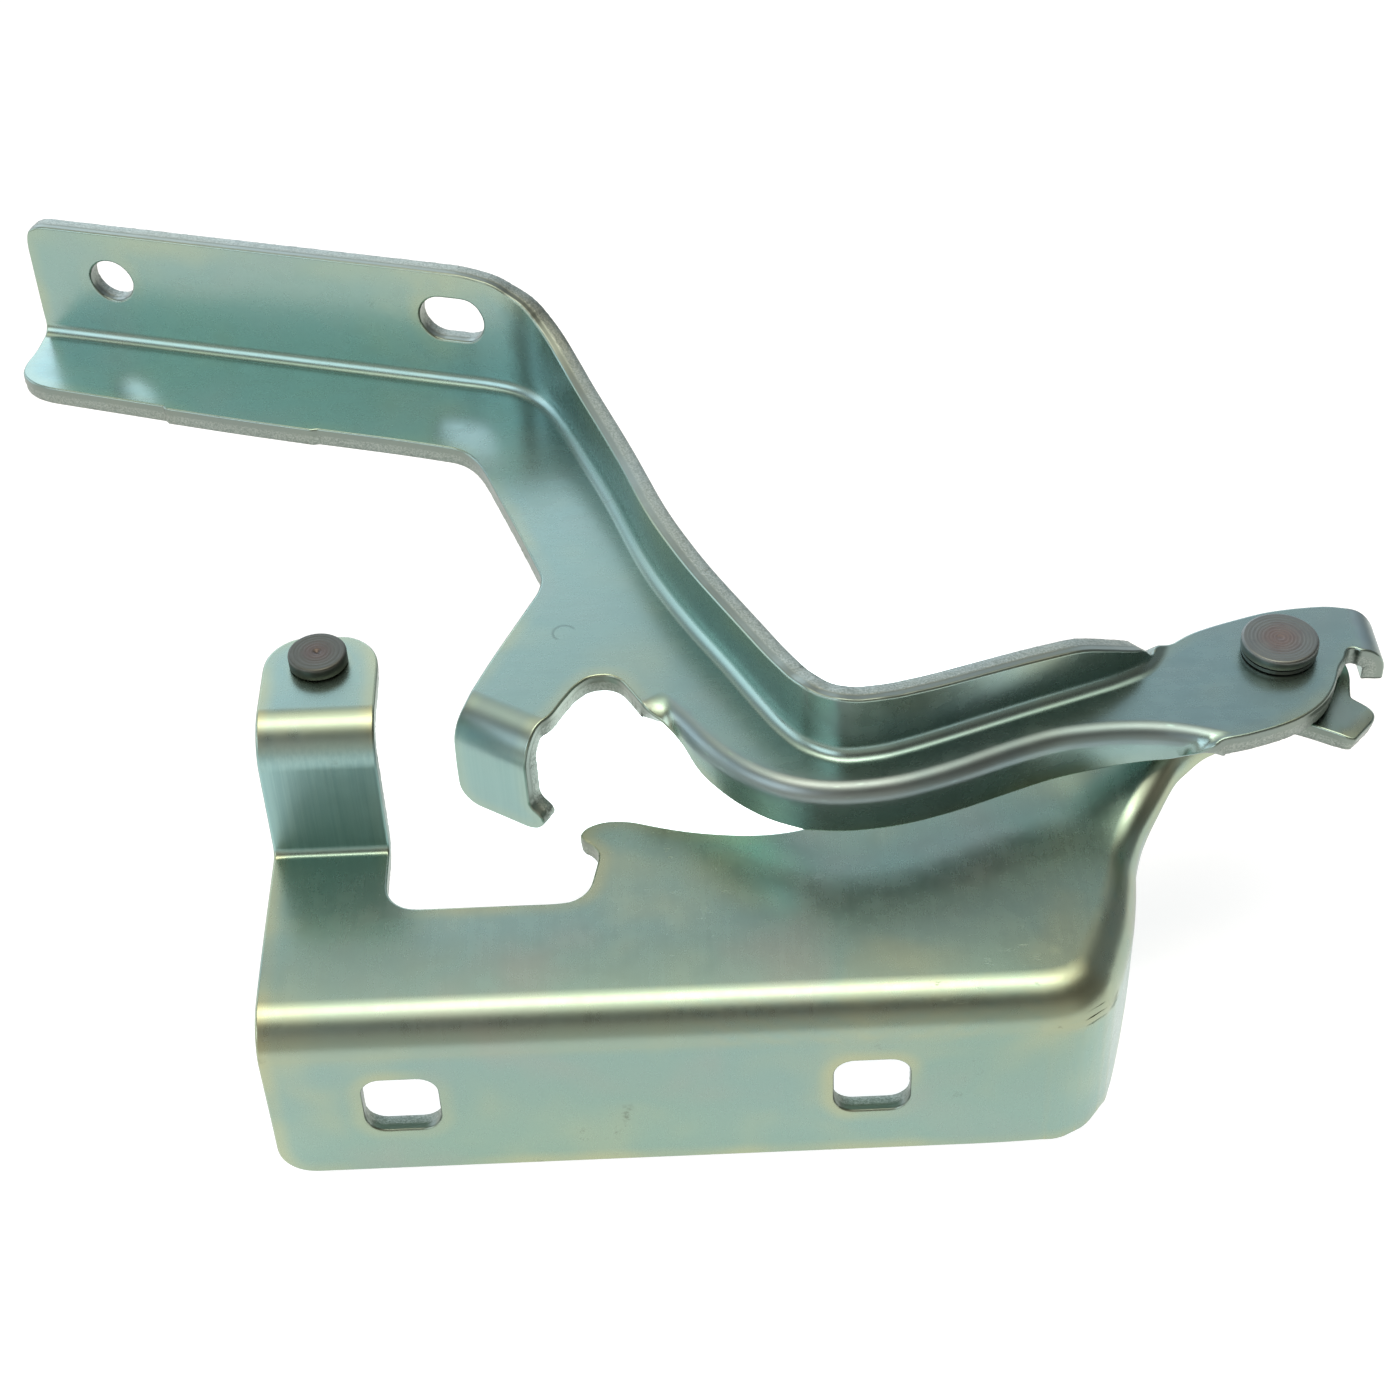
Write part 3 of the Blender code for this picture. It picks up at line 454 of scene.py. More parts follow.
def bracket_mesh(sizes):
    """Body flange below, side flange round the corner, raised ear at the left, notch, and the neck up to the
    pivot."""
    web_y, body_r, side_r = FLANGE_LINE_Y, 8.0, 5.0
    px, py = PIVOT[:2] - WEB_SHIFT[:2]
    bend = bracket_bend()
    corner = bend.near([(57, web_y)])[0][0]

    def radius(s):
        return body_r + (side_r - body_r) * smooth((s - corner - 6) / 34)

    root_r, ear_r, wall_y, ear_z = 1.6, 8.0, -36.6, STUD_EAR
    root = wall_y - root_r
    len_root, len_wall, len_bend = root_r * math.pi / 2, ear_z - root_r - ear_r, ear_r * math.pi / 2
    y_flat = root + len_root + len_wall + len_bend
    gain = y_flat - (wall_y + ear_r)
    neck_top, neck_run = 18.0, 31.0  # the neck's flat top, and how far it slopes from there
    web_lean, lean_run, dip = math.radians(4.0), 14.0, 0.7  # the web's early lean: its end, run and drop
    flange_depth = 37.2

    def place(v):
        """Folds the ear at its root and its top, folds the flanges down, and lifts the neck: a cone up to the
        pivot's ear, rounded at its foot and its top."""
        p, z = v.copy(), np.zeros(len(v))
        m = (v[:, 0] < -45) & (v[:, 1] > root)
        d = v[m, 1] - root
        a = np.minimum(d / root_r, math.pi / 2)
        b = np.clip((d - len_root - len_wall) / ear_r, 0, math.pi / 2)
        rest = np.maximum(d - len_root - len_wall - len_bend, 0)
        p[m, 1] = root + root_r * np.sin(a) + ear_r * (1 - np.cos(b)) + rest
        z[m] = root_r * (1 - np.cos(a)) + np.clip(d - len_root, 0, len_wall) + ear_r * np.sin(b)
        p, z = fold(v, p, z, bend, radius, -1, lambda q: (q[:, 1] < -20) & (q[:, 0] < 100.2))
        s, _, n, d = bend.near(v)
        lean = web_lean * (1 - smooth((s - corner + 12) / 22)) * ((v[:, 1] < -45) | (d > 0))
        along, down = early_lean(d, radius(s), lean, lean_run)
        p, z = p + n * along[:, None], z - down
        z = z + PIVOT_EAR * (1 - smooth((np.hypot(v[:, 0] - px, v[:, 1] - py) - neck_top) / neck_run)) ** 1.5
        return np.column_stack([p, z]) + WEB_SHIFT

    d_body = body_r * math.pi / 2 + flange_depth - body_r - dip
    y_body = web_y - d_body
    stud_y = STUD[1] + gain
    left = [(-77.6, web_y), (-77.6, -60), (-77.6, root), (-77.5, y_flat)]
    ear = arc(-69.3, stud_y - 0.6, 8.2, 180, 108, 5) + arc(-65.3, stud_y - 0.8, 8.4, 72, 0, 5)
    ear += [(-56.8, y_flat)]
    notch = [(-56.7, root), (-56.7, -44.2)] + arc(-51.2, -45.9, 5.5, 180, 270, 6) + [(-27.0, -51.5)]
    notch += arc(-26.2, -45.6, 5.9, 288, 346, 5)
    notch += [(-19.4, -41.6), (-19.3, -39.6), (-20.4, -37.6), (-22.0, -36.4)]
    notch += [(-22.7, -35.0), (-21.9, -33.3), (-20.0, -32.1), (-17.6, -31.5), (-13.6, -31.7), (-8.5, -33.5)]
    neck = spline([(-3.3, -35.0), (6.9, -36.6), (16.2, -36.0), (28, -31.8), (45, -23.0), (62, -14.0),
                   (79, -7.0), (90.2, -4.2)], 6.0).tolist()
    eye = arc(px, py, 10.7, 122, 82, 5) + arc(px, py, 12.4, 62, 48, 2) + arc(px, py, 13.6, 30, -18, 5)
    tab = [(118.0, -19.6), (120.7, -22.4), (121.5, -24.2), (120.9, -25.9), (116.6, -30.6), (115.2, -30.3),
           (109.2, -26.6), (105.2, -24.6), (101.8, -23.6)] + [tuple(bend.off((99.6, -23), 0))]
    side = [((98.3, -26.0), 4.0), ((96.6, -26.0), 7.0), ((93.4, -26.0), 8.2), ((89.2, -27.0), 8.3),
            ((85.0, -29.4), 8.4), ((81.6, -32.8), 8.6), ((78.0, -37.0), 9.6), ((75.4, -41.6), 12.2),
            ((73.6, -47.0), 16.0), ((71.6, -53.0), 22.0), ((69.2, -59.0), 29.0), ((66.4, -64.6), 36.6),
            ((63.6, -68.8), 40.2), ((61.6, -71.6), 41.4), ((58.8, -73), 42.0), ((55.0, -73), d_body),
            ((50.0, -73), d_body)]
    lower = [tuple(bend.off(p, d)) for p, d in side]
    lower += [(20, y_body), (-10, y_body), (-40, y_body)] + arc(-71.2, y_body + 6.2, 6.2, 270, 180, 6)
    outline = left + ear + notch + neck + eye + tab + lower + [(-77.4, -100), (-77.5, -85)]
    slot_y = web_y - (body_r * math.pi / 2 + WEB_SHIFT[2] - body_r - dip)
    holes = [rounded_box(x, slot_y, 13.2, 13.2, 3.6) for x in (-54.4, 26.9)]
    holes += [rounded_box(px, py, 8.6, 8.6, 4.299), rounded_box(STUD[0], stud_y, 6.6, 6.6, 3.299)]
    rows = []
    for t in np.linspace(0, 1, 10):
        whole = bend.p + bend.n * (radius(bend.s) * math.pi / 2 * t)[:, None]
        rows.append(whole[np.arange(0, len(whole), 2)])
    for y in np.r_[root + len_root * np.linspace(0, 1, 7), y_flat - len_bend * np.linspace(1, 0, 9)]:
        rows.append(np.stack([np.linspace(-80, -50, 20), np.full(20, y)], 1))
    def drawn(v):
        """The ear's wall, scored, and paled by painted reflection."""
        return ((v[:, 0] < -45) & (v[:, 1] > root)).astype(float)

    return pressed_plate("body_bracket_plate", outline, holes, rows, np.zeros((0, 2)), place,
                         sizes.bracket_sheet / MM, sizes.rolled_edge / MM, sizes.mesh_step / MM, 3, drawn)


def arm_mesh(sizes):
    """Bonnet flange, gooseneck with an upper and a lower flange, hooked leg, and the pivot's end with its
    stop lip, drawn in the arm's own directions with the pivot at zero."""
    wall_y, root_r, squash, low_r = 50.8, 2.4, 0.5, 3.2
    line = BendLine([(-285, wall_y), (-262, wall_y), (-235, wall_y), (-205, wall_y), (-176, wall_y),
                     (-163.0, 50.5), (-155.4, 47.9), (-149.4, 42.6), (-142.4, 33.9), (-130.4, 17.6),
                     (-118.0, -0.9), (-107.0, -14.2), (-96.2, -25.4), (-87.5, -34.6), (-81.9, -39.9),
                     (-76.6, -43.2), (-70.6, -43.8), (-64.2, -40.8), (-57.0, -35.9), (-44.0, -26.2),
                     (-33.3, -18.4), (-27.6, -14.0), (-23.8, -10.2), (-21.9, -6.0), (-21.6, 0.0),
                     (-21.6, 14.0)][::-1])
    upper = BendLine((line.p - line.n * root_r)[::6])
    full = root_r * math.pi / 2

    def over(x, y, h):
        """A blank point on the upper flange, h over the web."""
        return tuple(upper.off((x, y), squash * (h - root_r + full)))

    face = [(-117, -30.0), (-110.5, -35.2), (-104.0, -40.2), (-97.4, -46.0), (-90.2, -50.6), (-82.8, -53.3),
            (-76.4, -53.9), (-69.4, -52.9), (-60.6, -49.6), (-52.0, -44.2), (-43.6, -37.6), (-35.4, -31.8),
            (-26.8, -28.2), (-18.6, -26.2), (-11.0, -26.0), (-4.0, -27.0), (4.0, -29.0)]
    low = BendLine(face)
    low = BendLine((low.p - low.n * low_r)[::6])

    s_in, s_out = (low.near([p])[0][0] for p in ((-109.0, -36.2), (-6.0, -26.0)))

    def lower_angle(s):
        """How far the lower flange is folded along its line: it starts flat by the leg and ends flat by the
        pivot."""
        return 90.0 * smooth((s - s_in) / 11.0) * smooth((s_out - s) / 9.0)

    def under(x, y, h):
        """A blank point on the lower flange, h below the arm's top."""
        return tuple(low.off((x, y), h - low_r + low_r * math.pi / 2))

    leg_r, turn_leg = 7.5, math.radians(-17.5)
    leg_at, u = np.array([-133.0, -43.4]), np.array([math.cos(turn_leg), math.sin(turn_leg)])
    leg = BendLine([leg_at - 30 * u, leg_at, leg_at + 30 * u])
    lip = 21.5 - leg_r + leg_r * math.pi / 2

    def on_lip(a, h):
        """A blank point on the leg's lip: a along the bend line, h past the bend's start."""
        return tuple(leg_at + a * u + h * np.array([u[1], -u[0]]))

    c, s = math.cos(math.radians(LEAN)), math.sin(math.radians(LEAN))

    def turn(x, y):
        """A point given along the body flange's directions."""
        return (x * c - y * s, x * s + y * c)

    stop_r, stop_x = 5.0, 14.9
    stop = BendLine([turn(stop_x, -12), turn(stop_x, 0), turn(stop_x, 14), turn(stop_x, 30)])
    stop_len = 7.4 - stop_r + stop_r * math.pi / 2

    def place(v):
        """Folds the upper flange up and the lower flange, the leg's lip and the stop lip down, then leans the
        arm."""
        p, z = v.copy(), np.zeros(len(v))
        p, z = fold(v, p, z, upper, root_r, 1, lambda q: (q[:, 0] < -15) & (q[:, 1] > -60), squash)
        p, z = fold(v, p, z, low, low_r, -1, lambda q: (q[:, 0] > -112) & (q[:, 1] < -12), 1.0, lower_angle)
        p, z = fold(v, p, z, leg, leg_r, -1, lambda q: (q[:, 0] < -118) & (q[:, 1] < -36))
        p, z = fold(v, p, z, stop, stop_r, -1, lambda q: (q[:, 0] > 8) & (q[:, 1] > -2))
        x, y = p.T
        return np.column_stack([PIVOT[0] + c * x + s * y, PIVOT[1] - s * x + c * y,
                                z + ARM_TOP + WEB_SHIFT[2]])

    out = [over(-267.6, 50.8, 1.5), over(-267.7, 50.8, 8), over(-267.7, 50.8, 22.0), over(-266.8, 50.8, 25.2)]
    out += [over(-264.2, 50.8, 26.5)] + [over(x, 50.8, 26.5) for x in (-240, -205, -180)]
    out += [over(-170, 50.8, 26.3), over(-164, 50.5, 25.3), over(-157.5, 49.0, 22.8),
            over(-152.4, 46.0, 18.6), over(-148.0, 41.0, 15.6), over(-142.4, 33.9, 13.8),
            over(-130.4, 17.6, 12.8), over(-118.0, -0.9, 12.4), over(-107.0, -14.2, 12.2),
            over(-96.2, -25.4, 12.2), over(-87.5, -34.6, 12.3), over(-81.9, -39.9, 12.5),
            over(-76.6, -43.2, 12.6), over(-70.6, -43.8, 12.6), over(-64.2, -40.8, 12.2),
            over(-57.0, -35.9, 11.6), over(-44.0, -26.2, 10.9), over(-38, -21.8, 10.4),
            over(-33.3, -18.4, 9.9), over(-28.6, -14.6, 7.4), over(-24.4, -11.4, 5.0), over(-22.6, -9.4, 3.6),
            tuple(upper.off((-21.6, -7.2), squash * 2.2)), (-20.8, -4.6)]
    out += [(-19.1, -1.6), (-16.4, 1.8), (-12.1, 5.2), (-6.6, 8.9), (-3.4, 10.9), (2.0, 13.3), (7.6, 15.1),
            turn(stop_x, 11.6)]
    out += [turn(stop_x + 3, 11.0), turn(stop_x + 6.0, 9.6), turn(stop_x + stop_len - 1, 7.6),
            turn(stop_x + stop_len, 5.4), turn(stop_x + stop_len, -0.6), turn(stop_x, -0.6), turn(14.0, 0.2),
            turn(13.0, 0.1), turn(12.2, -0.9), turn(11.6, -2.6), (11.0, -2.0), (10.8, -6.3), (9.6, -11.2),
            (6.4, -16.3), (1.8, -20.3), (-4.0, -24.0), (-7.6, -25.6)]
    out += [tuple(low.off((-8.4, -25.6), 3.6)), tuple(low.off((-11.5, -25.0), 5.6)), under(-15.0, -25.4, 6.2),
            under(-20.6, -26.0, 7.4), under(-27, -28.2, 8.6), under(-35.4, -31.8, 9.6)]
    out += [under(x, y, 10.0) for x, y in face[9:5:-1]]
    out += [under(-76.4, -53.9, 9.9), under(-82.8, -53.3, 9.6), under(-90.2, -50.6, 9.0),
            under(-97.4, -46.0, 7.8)]
    out += [tuple(low.off(p, d)) for p, d in (((-101.0, -42.6), 6.8), ((-103.4, -40.6), 5.4),
                                              ((-105.4, -39.2), 4.7))]
    out += [(-107.4, -39.7), (-109.2, -38.8), (-110.9, -37.2), (-112.9, -35.1), (-115.4, -32.7),
            (-117.8, -32.0), (-119.9, -32.6), (-121.4, -33.5), (-123.0, -36.2), (-124.2, -40.8),
            (-124.9, -44.6)]
    out += [on_lip(7.2, 2.0), on_lip(7.6, 8.0), on_lip(7.8, lip - 6.4), on_lip(8.4, lip - 5.4),
            on_lip(10.4, lip - 4.2), on_lip(10.9, lip - 2.8), on_lip(9.6, lip - 0.9), on_lip(7.6, lip),
            on_lip(-5.4, lip), on_lip(-8.2, lip - 2.4), on_lip(-8.4, lip - 8.0), on_lip(-8.0, 3.0)]
    out += [(-141.2, -41.0), (-140.4, -33.0), (-138.6, -20.0), (-137.4, -11.4), (-138.0, -7.6), (-145.0, 2.6),
            (-153.0, 13.8), (-158.4, 21.4), (-161.7, 25.4), (-166.0, 28.2), (-179.0, 28.7), (-197.4, 28.7),
            (-197.6, 28.2), (-198.0, 28.2), (-215.0, 28.5), (-231.0, 29.1), (-231.2, 29.2), (-231.6, 29.8),
            (-236, 30.0), (-258.8, 31.0), (-262.6, 32.0), (-266.0, 34.6), (-267.0, 38.2), (-266.8, 43.0)]

    def flange_y(h):
        return wall_y - root_r + squash * (h - root_r + full)

    holes = [rounded_box(-249.6, flange_y(15.0), 9.6, 9.6, 4.799, squash),
             rounded_box(-173.7, flange_y(15.4), 14.0, 10.2, 4.8, squash),
             rounded_box(0, 0, 12.0, 12.0, 5.999)]
    rows = upper.beside(squash * full * np.linspace(0, 1, 8), 2)
    rows += low.beside(low_r * math.pi / 2 * np.linspace(0, 1, 9), 2)
    for d in leg_r * math.pi / 2 * np.linspace(0, 1, 9):
        rows.append(np.array([on_lip(a, d) for a in np.linspace(-14, 12, 18)]))
    for d in stop_r * math.pi / 2 * np.linspace(0, 1, 8):
        rows.append(np.array([turn(stop_x + d, y) for y in np.linspace(14, -1, 12)]))
    mark = np.array([-129.1, -22.4])
    spots = np.vstack([mark + np.array(arc(0, 0, q, 0, 360 - 360 / 44, 44))
                       for q in (1.55, 1.8, 2.05, 2.3, 2.55, 2.8)])
    def drawn(v):
        """The leg's lip, scored less than the bracket's ear, and paled less by painted reflection."""
        return 0.3 * ((leg.near(v)[3] > 0) & (v[:, 0] < -118))

    def press_ring_shade(v):
        """Painted shade for the shallow ring that the press leaves on the leg: a dark arc, open to its upper
        right, with no groove in the mesh.
        """
        d = v - mark
        shaded_side = smooth((1.2 - d[:, 0] + 0.6 * d[:, 1]) / 1.2)
        ring = np.exp(-(((np.hypot(*d.T) - 2.15) / 0.16) ** 2)) * shaded_side
        return 0.55 * ring

    return pressed_plate("bonnet_arm_plate", out, holes, rows, spots, place, sizes.arm_sheet / MM,
                         sizes.rolled_edge / MM, sizes.mesh_step / MM, 5, drawn, press_ring_shade)


# Turned pieces

def lathe(name, profile, at, steps=128):
    """A profile of radius and height turned about an upright axis: x = r cos t, y = r sin t, z = h. An end on
    the axis is closed by one point."""
    r, h = np.array(profile, float).T
    t = np.linspace(0, 2 * math.pi, steps, endpoint=False)
    inner = slice(1 if r[0] == 0 else 0, -1 if r[-1] == 0 else None)
    ring_r, ring_h = r[inner], h[inner]
    co = np.stack([np.outer(ring_r, np.cos(t)), np.outer(ring_r, np.sin(t)),
                   np.outer(ring_h, np.ones(steps))], 2)
    k = len(ring_r)
    i = np.arange(steps)
    j = (i + 1) % steps
    a = np.arange(k - 1)[:, None] * steps
    quads = np.stack([a + i, a + j, a + steps + j, a + steps + i], 2).reshape(-1, 4)
    co = np.vstack([co.reshape(-1, 3), [(0, 0, h[0])], [(0, 0, h[-1])]])
    low = np.stack([np.full(steps, k * steps), j, i], 1)
    high = np.stack([np.full(steps, k * steps + 1), (k - 1) * steps + i, (k - 1) * steps + j], 1)
    return solid_mesh(name, (co + np.array(at)) * MM, [quads, low, high])


def turned_head(radius, base, height, edge, depth, dimple):
    """The top of a head, from its rim in to the middle: a rounded edge, then fine rings as a sine of the
    radius that fade towards the rim, and a shallow punch mark at the middle."""
    a = np.radians(np.linspace(0, 90, 7))
    rim = np.stack([radius - edge + edge * np.cos(a), base + height - edge + edge * np.sin(a)], 1)
    r = np.linspace(radius - edge, 0, 70)[1:]
    fade = smooth((radius - edge - r) / 0.6)
    h = base + height + depth * fade * (np.sin(r * 9.0) + 0.5 * np.sin(r * 23.0 + 1.0))
    h -= dimple * np.exp(-((r / 0.55) ** 2))
    return np.vstack([rim, np.stack([r, h], 1)])


def rivet_mesh(sizes):
    """The rivet's upset tail, shank and turned head, from below to the top."""
    x, y = PIVOT[:2]
    top, ear = ARM_TOP + WEB_SHIFT[2], PIVOT_EAR + WEB_SHIFT[2]
    head, under = top + 1.3, ear - sizes.bracket_sheet / MM - GAP
    tail = [(0, under - 2.4), (3.2, under - 2.4), (3.9, under - 2.3), (5.2, under - 1.8), (5.8, under - 1.0),
            (6.0, under - 0.3), (5.9, under), (4.0, under), (4.0, head), (6.8, head), (7.0, head + 0.2)]
    cap = turned_head(7.0, head, 2.1, 0.55, sizes.head_rings / MM, 0.05)
    return lathe("pivot_rivet_turned", np.vstack([tail, cap]), (x, y, 0))


def stud_mesh(sizes):
    """The stud: a ball and collar under the ear, and its turned head above."""
    x, y = STUD + WEB_SHIFT[:2]
    top = STUD_EAR + WEB_SHIFT[2]
    b = top - sizes.bracket_sheet / MM - GAP
    a = np.radians(np.linspace(-74, 50, 26))
    ball = np.stack([5.0 * np.cos(a), b - 9.0 + 5.0 * np.sin(a)], 1)
    collar = [(3.0, b - 3.8), (3.0, b - 1.9), (5.4, b - 1.8), (5.6, b - 1.6), (5.6, b - 0.2), (5.4, b),
              (3.0, b)]
    neck = [(3.0, top + 0.3), (5.1, top + 0.3), (5.25, top + 0.45)]
    cap = turned_head(5.25, top + 0.3, 2.4, 0.5, sizes.head_rings / MM, 0.35)
    return lathe("ear_stud_turned", np.vstack([[(0, b - 13.8)], ball, collar, neck, cap]), (x, y, 0))


# Finishes

def put(tree, kind, inputs=None, **settings):
    """One node, with its settings, and with each input given as a value or as the socket to join to it."""
    node = tree.nodes.new(kind)
    for key, value in settings.items():
        setattr(node, key, value)
    for key, value in (inputs or {}).items():
        if isinstance(value, bpy.types.NodeSocket):
            tree.links.new(value, node.inputs[key])
        else:
            node.inputs[key].default_value = value
    return node


def mix_colour(tree, share, a, b, blend="MIX"):
    node = put(tree, "ShaderNodeMix", None, data_type="RGBA", blend_type=blend)
    for index, value in ((0, share), (6, a), (7, b)):
        if isinstance(value, bpy.types.NodeSocket):
            tree.links.new(value, node.inputs[index])
        else:
            node.inputs[index].default_value = value
    return node.outputs[2]


def maths(tree, operation, a, b=0.0, c=0.0, clamp=False):
    return put(tree, "ShaderNodeMath", {0: a, 1: b, 2: c}, operation=operation, use_clamp=clamp).outputs[0]


def step_up(tree, value, low, high):
    """Zero below low, one above high and a smooth step between. low above high turns it round."""
    turned = isinstance(low, float) and isinstance(high, float) and low > high
    a, b, lo, hi = (high, low, 1.0, 0.0) if turned else (low, high, 0.0, 1.0)
    return put(tree, "ShaderNodeMapRange", {"Value": value, "From Min": a, "From Max": b, "To Min": lo,
                                            "To Max": hi}, interpolation_type="SMOOTHSTEP").outputs[0]


def noise(tree, where, scale, detail=3.0, rough=0.5, twist=0.0):
    return put(tree, "ShaderNodeTexNoise", {"Vector": where, "Scale": scale, "Detail": detail,
                                            "Roughness": rough, "Distortion": twist}).outputs["Fac"]


def new_group(name, inputs, outputs):
    """An empty shader node group with named sockets: inputs are (name, kind, default), outputs (name,
    kind)."""
    group = bpy.data.node_groups.new(name, "ShaderNodeTree")
    for label, kind, default in inputs:
        socket = group.interface.new_socket(label, in_out="INPUT", socket_type="NodeSocket" + kind)
        if default is not None:
            socket.default_value = default
    for label, kind in outputs:
        group.interface.new_socket(label, in_out="OUTPUT", socket_type="NodeSocket" + kind)
    return group, group.nodes.new("NodeGroupInput").outputs, group.nodes.new("NodeGroupOutput").inputs


def zinc_group():
    """Passivated zinc over pressed steel: a film whose colour drifts over the plate and turns straw near cut
    edges, with fine rolling lines, scuffs, and a paler granular sheared edge. On bends the colour is a
    painted highlight tint, scored walls are paled by painted reflection, and the press ring is painted shade."""
    group, given, result = new_group("passivated_zinc", [
        ("Position", "Vector", None), ("Edge Distance", "Float", 10.0), ("Cut Depth", "Float", 0.0),
        ("Bend", "Float", 0.0), ("Scores And Painted Reflection", "Float", 0.0), ("Press Ring Shade", "Float", 0.0),
        ("Zinc", "Color", None), ("Blue", "Color", None), ("Straw", "Color", None), ("Rose", "Color", None),
        ("Bend Highlight Tint", "Color", None), ("Cut", "Color", None), ("Tint", "Float", 1.0), ("Blueness", "Float", 0.5),
        ("Rub", "Float", 0.05), ("Scuffs", "Float", 0.5), ("Lines", "Vector", None)],
        [("Colour", "Color"), ("Roughness", "Float"), ("Height", "Float")])
    t = group
    # The score colours are paler than the zinc: painted reflection on the scored walls.
    score_reflection_dark, score_reflection_pale = (0.29, 0.50, 0.51, 1), (0.35, 0.57, 0.57, 1)
    # The first colour here is painted shade, the dark arc of the press ring.
    ring_shade, scuff_dark, grain_pale = (0.055, 0.075, 0.075, 1), (0.12, 0.12, 0.10, 1), (0.38, 0.41, 0.37, 1)
    where = given["Position"]
    broad = noise(t, where, 14.0, 1.0)
    drift = noise(t, where, 45.0, 2.0, 0.5, 0.2)
    blue = step_up(t, broad, 0.70, 0.30)
    blue = maths(t, "MULTIPLY_ADD", blue, 0.4, given["Blueness"], clamp=True)
    colour = mix_colour(t, blue, given["Zinc"], given["Blue"])
    # Bends take a painted highlight tint: cream on the bracket, darker and bluer on the arm.
    bent = step_up(t, given["Bend"], 0.01, 0.11)
    colour = mix_colour(t, maths(t, "MULTIPLY", bent, 0.8), colour, given["Bend Highlight Tint"])
    brim = put(t, "ShaderNodeMapRange", {"Value": given["Edge Distance"], "From Min": 0.0, "From Max": 3.2,
                                         "To Min": 1.0, "To Max": 0.0},
               interpolation_type="SMOOTHSTEP").outputs[0]
    film = maths(t, "MULTIPLY", maths(t, "MULTIPLY", brim, step_up(t, drift, 0.30, 0.65)), given["Tint"])
    colour = mix_colour(t, maths(t, "MULTIPLY", film, 0.55), colour, given["Straw"])
    stain = maths(t, "MULTIPLY", step_up(t, drift, 0.48, 0.80), given["Tint"])
    colour = mix_colour(t, maths(t, "MULTIPLY", stain, 0.35), colour, given["Straw"])
    rose = maths(t, "MULTIPLY", step_up(t, drift, 0.52, 0.22), given["Tint"])
    colour = mix_colour(t, maths(t, "MULTIPLY", rose, 0.30), colour, given["Rose"])

    upright = put(t, "ShaderNodeVectorMath", {0: where, 1: (1600.0, 1600.0, 30.0)},
                  operation="MULTIPLY").outputs[0]
    scores = noise(t, upright, 1.0, 3.0, 0.65)
    # Painted reflection: scored walls are paled towards the score colours.
    pale = mix_colour(t, step_up(t, scores, 0.35, 0.65), score_reflection_dark, score_reflection_pale)
    colour = mix_colour(t, maths(t, "MULTIPLY", given["Scores And Painted Reflection"], 0.75), colour, pale)
    # Painted shade: the press ring's dark arc.
    colour = mix_colour(t, given["Press Ring Shade"], colour, ring_shade)

    stretched = put(t, "ShaderNodeVectorMath", {0: where, 1: given["Lines"]}, operation="MULTIPLY").outputs[0]
    lines = noise(t, stretched, 1.0, 3.0, 0.6)
    flattened = put(t, "ShaderNodeVectorMath", {0: where, 1: (200.0, 520.0, 160.0)},
                    operation="MULTIPLY").outputs[0]
    marks = noise(t, flattened, 1.0, 6.0, 0.75)
    spots = noise(t, where, 32.0, 2.0)
    scuff = maths(t, "MULTIPLY", step_up(t, marks, 0.60, 0.72), step_up(t, spots, 0.52, 0.62))
    scuff = maths(t, "MULTIPLY", scuff, given["Scuffs"], clamp=True)
    colour = mix_colour(t, maths(t, "MULTIPLY", scuff, 0.6), colour, scuff_dark)

    cut = step_up(t, given["Cut Depth"], 0.0, 0.12)
    torn = step_up(t, given["Cut Depth"], 0.30, 0.48)
    grain = noise(t, where, 2600.0, 4.0, 0.65)
    torn_pale = mix_colour(t, step_up(t, grain, 0.35, 0.7), given["Cut"], grain_pale)
    torn_pale = mix_colour(t, torn, given["Cut"], torn_pale)
    colour = mix_colour(t, maths(t, "MULTIPLY", cut, 0.8), colour, torn_pale)

    rough = put(t, "ShaderNodeMapRange", {"Value": noise(t, where, 240.0, 4.0, 0.6), "From Min": 0.3,
                                          "From Max": 0.7, "To Min": 0.22, "To Max": 0.26}).outputs[0]
    rough = maths(t, "MULTIPLY_ADD", lines, 0.06, rough)
    rough = maths(t, "MULTIPLY_ADD", scuff, 0.25, rough)
    rough = maths(t, "MULTIPLY_ADD", cut, 0.06, rough)
    rough = maths(t, "MULTIPLY_ADD", bent, given["Rub"], rough)
    rough = maths(t, "MULTIPLY_ADD", given["Scores And Painted Reflection"], 0.14, rough)
    rough = maths(t, "MULTIPLY_ADD", torn, 0.10, rough, clamp=True)

    height = maths(t, "MULTIPLY", noise(t, where, 1500.0, 3.0, 0.6), 0.03)
    height = maths(t, "MULTIPLY_ADD", lines, 0.05, height)
    height = maths(t, "MULTIPLY_ADD", noise(t, where, 110.0, 2.0), 0.15, height)
    height = maths(t, "MULTIPLY_ADD", maths(t, "MULTIPLY", scores, given["Scores And Painted Reflection"]), 0.16, height)
    height = maths(t, "MULTIPLY_ADD", scuff, -0.15, height)
    height = maths(t, "MULTIPLY_ADD", maths(t, "MULTIPLY", grain, torn), 1.0, height)
    for label, value in (("Colour", colour), ("Roughness", rough), ("Height", height)):
        t.links.new(value, result[label])
    return group


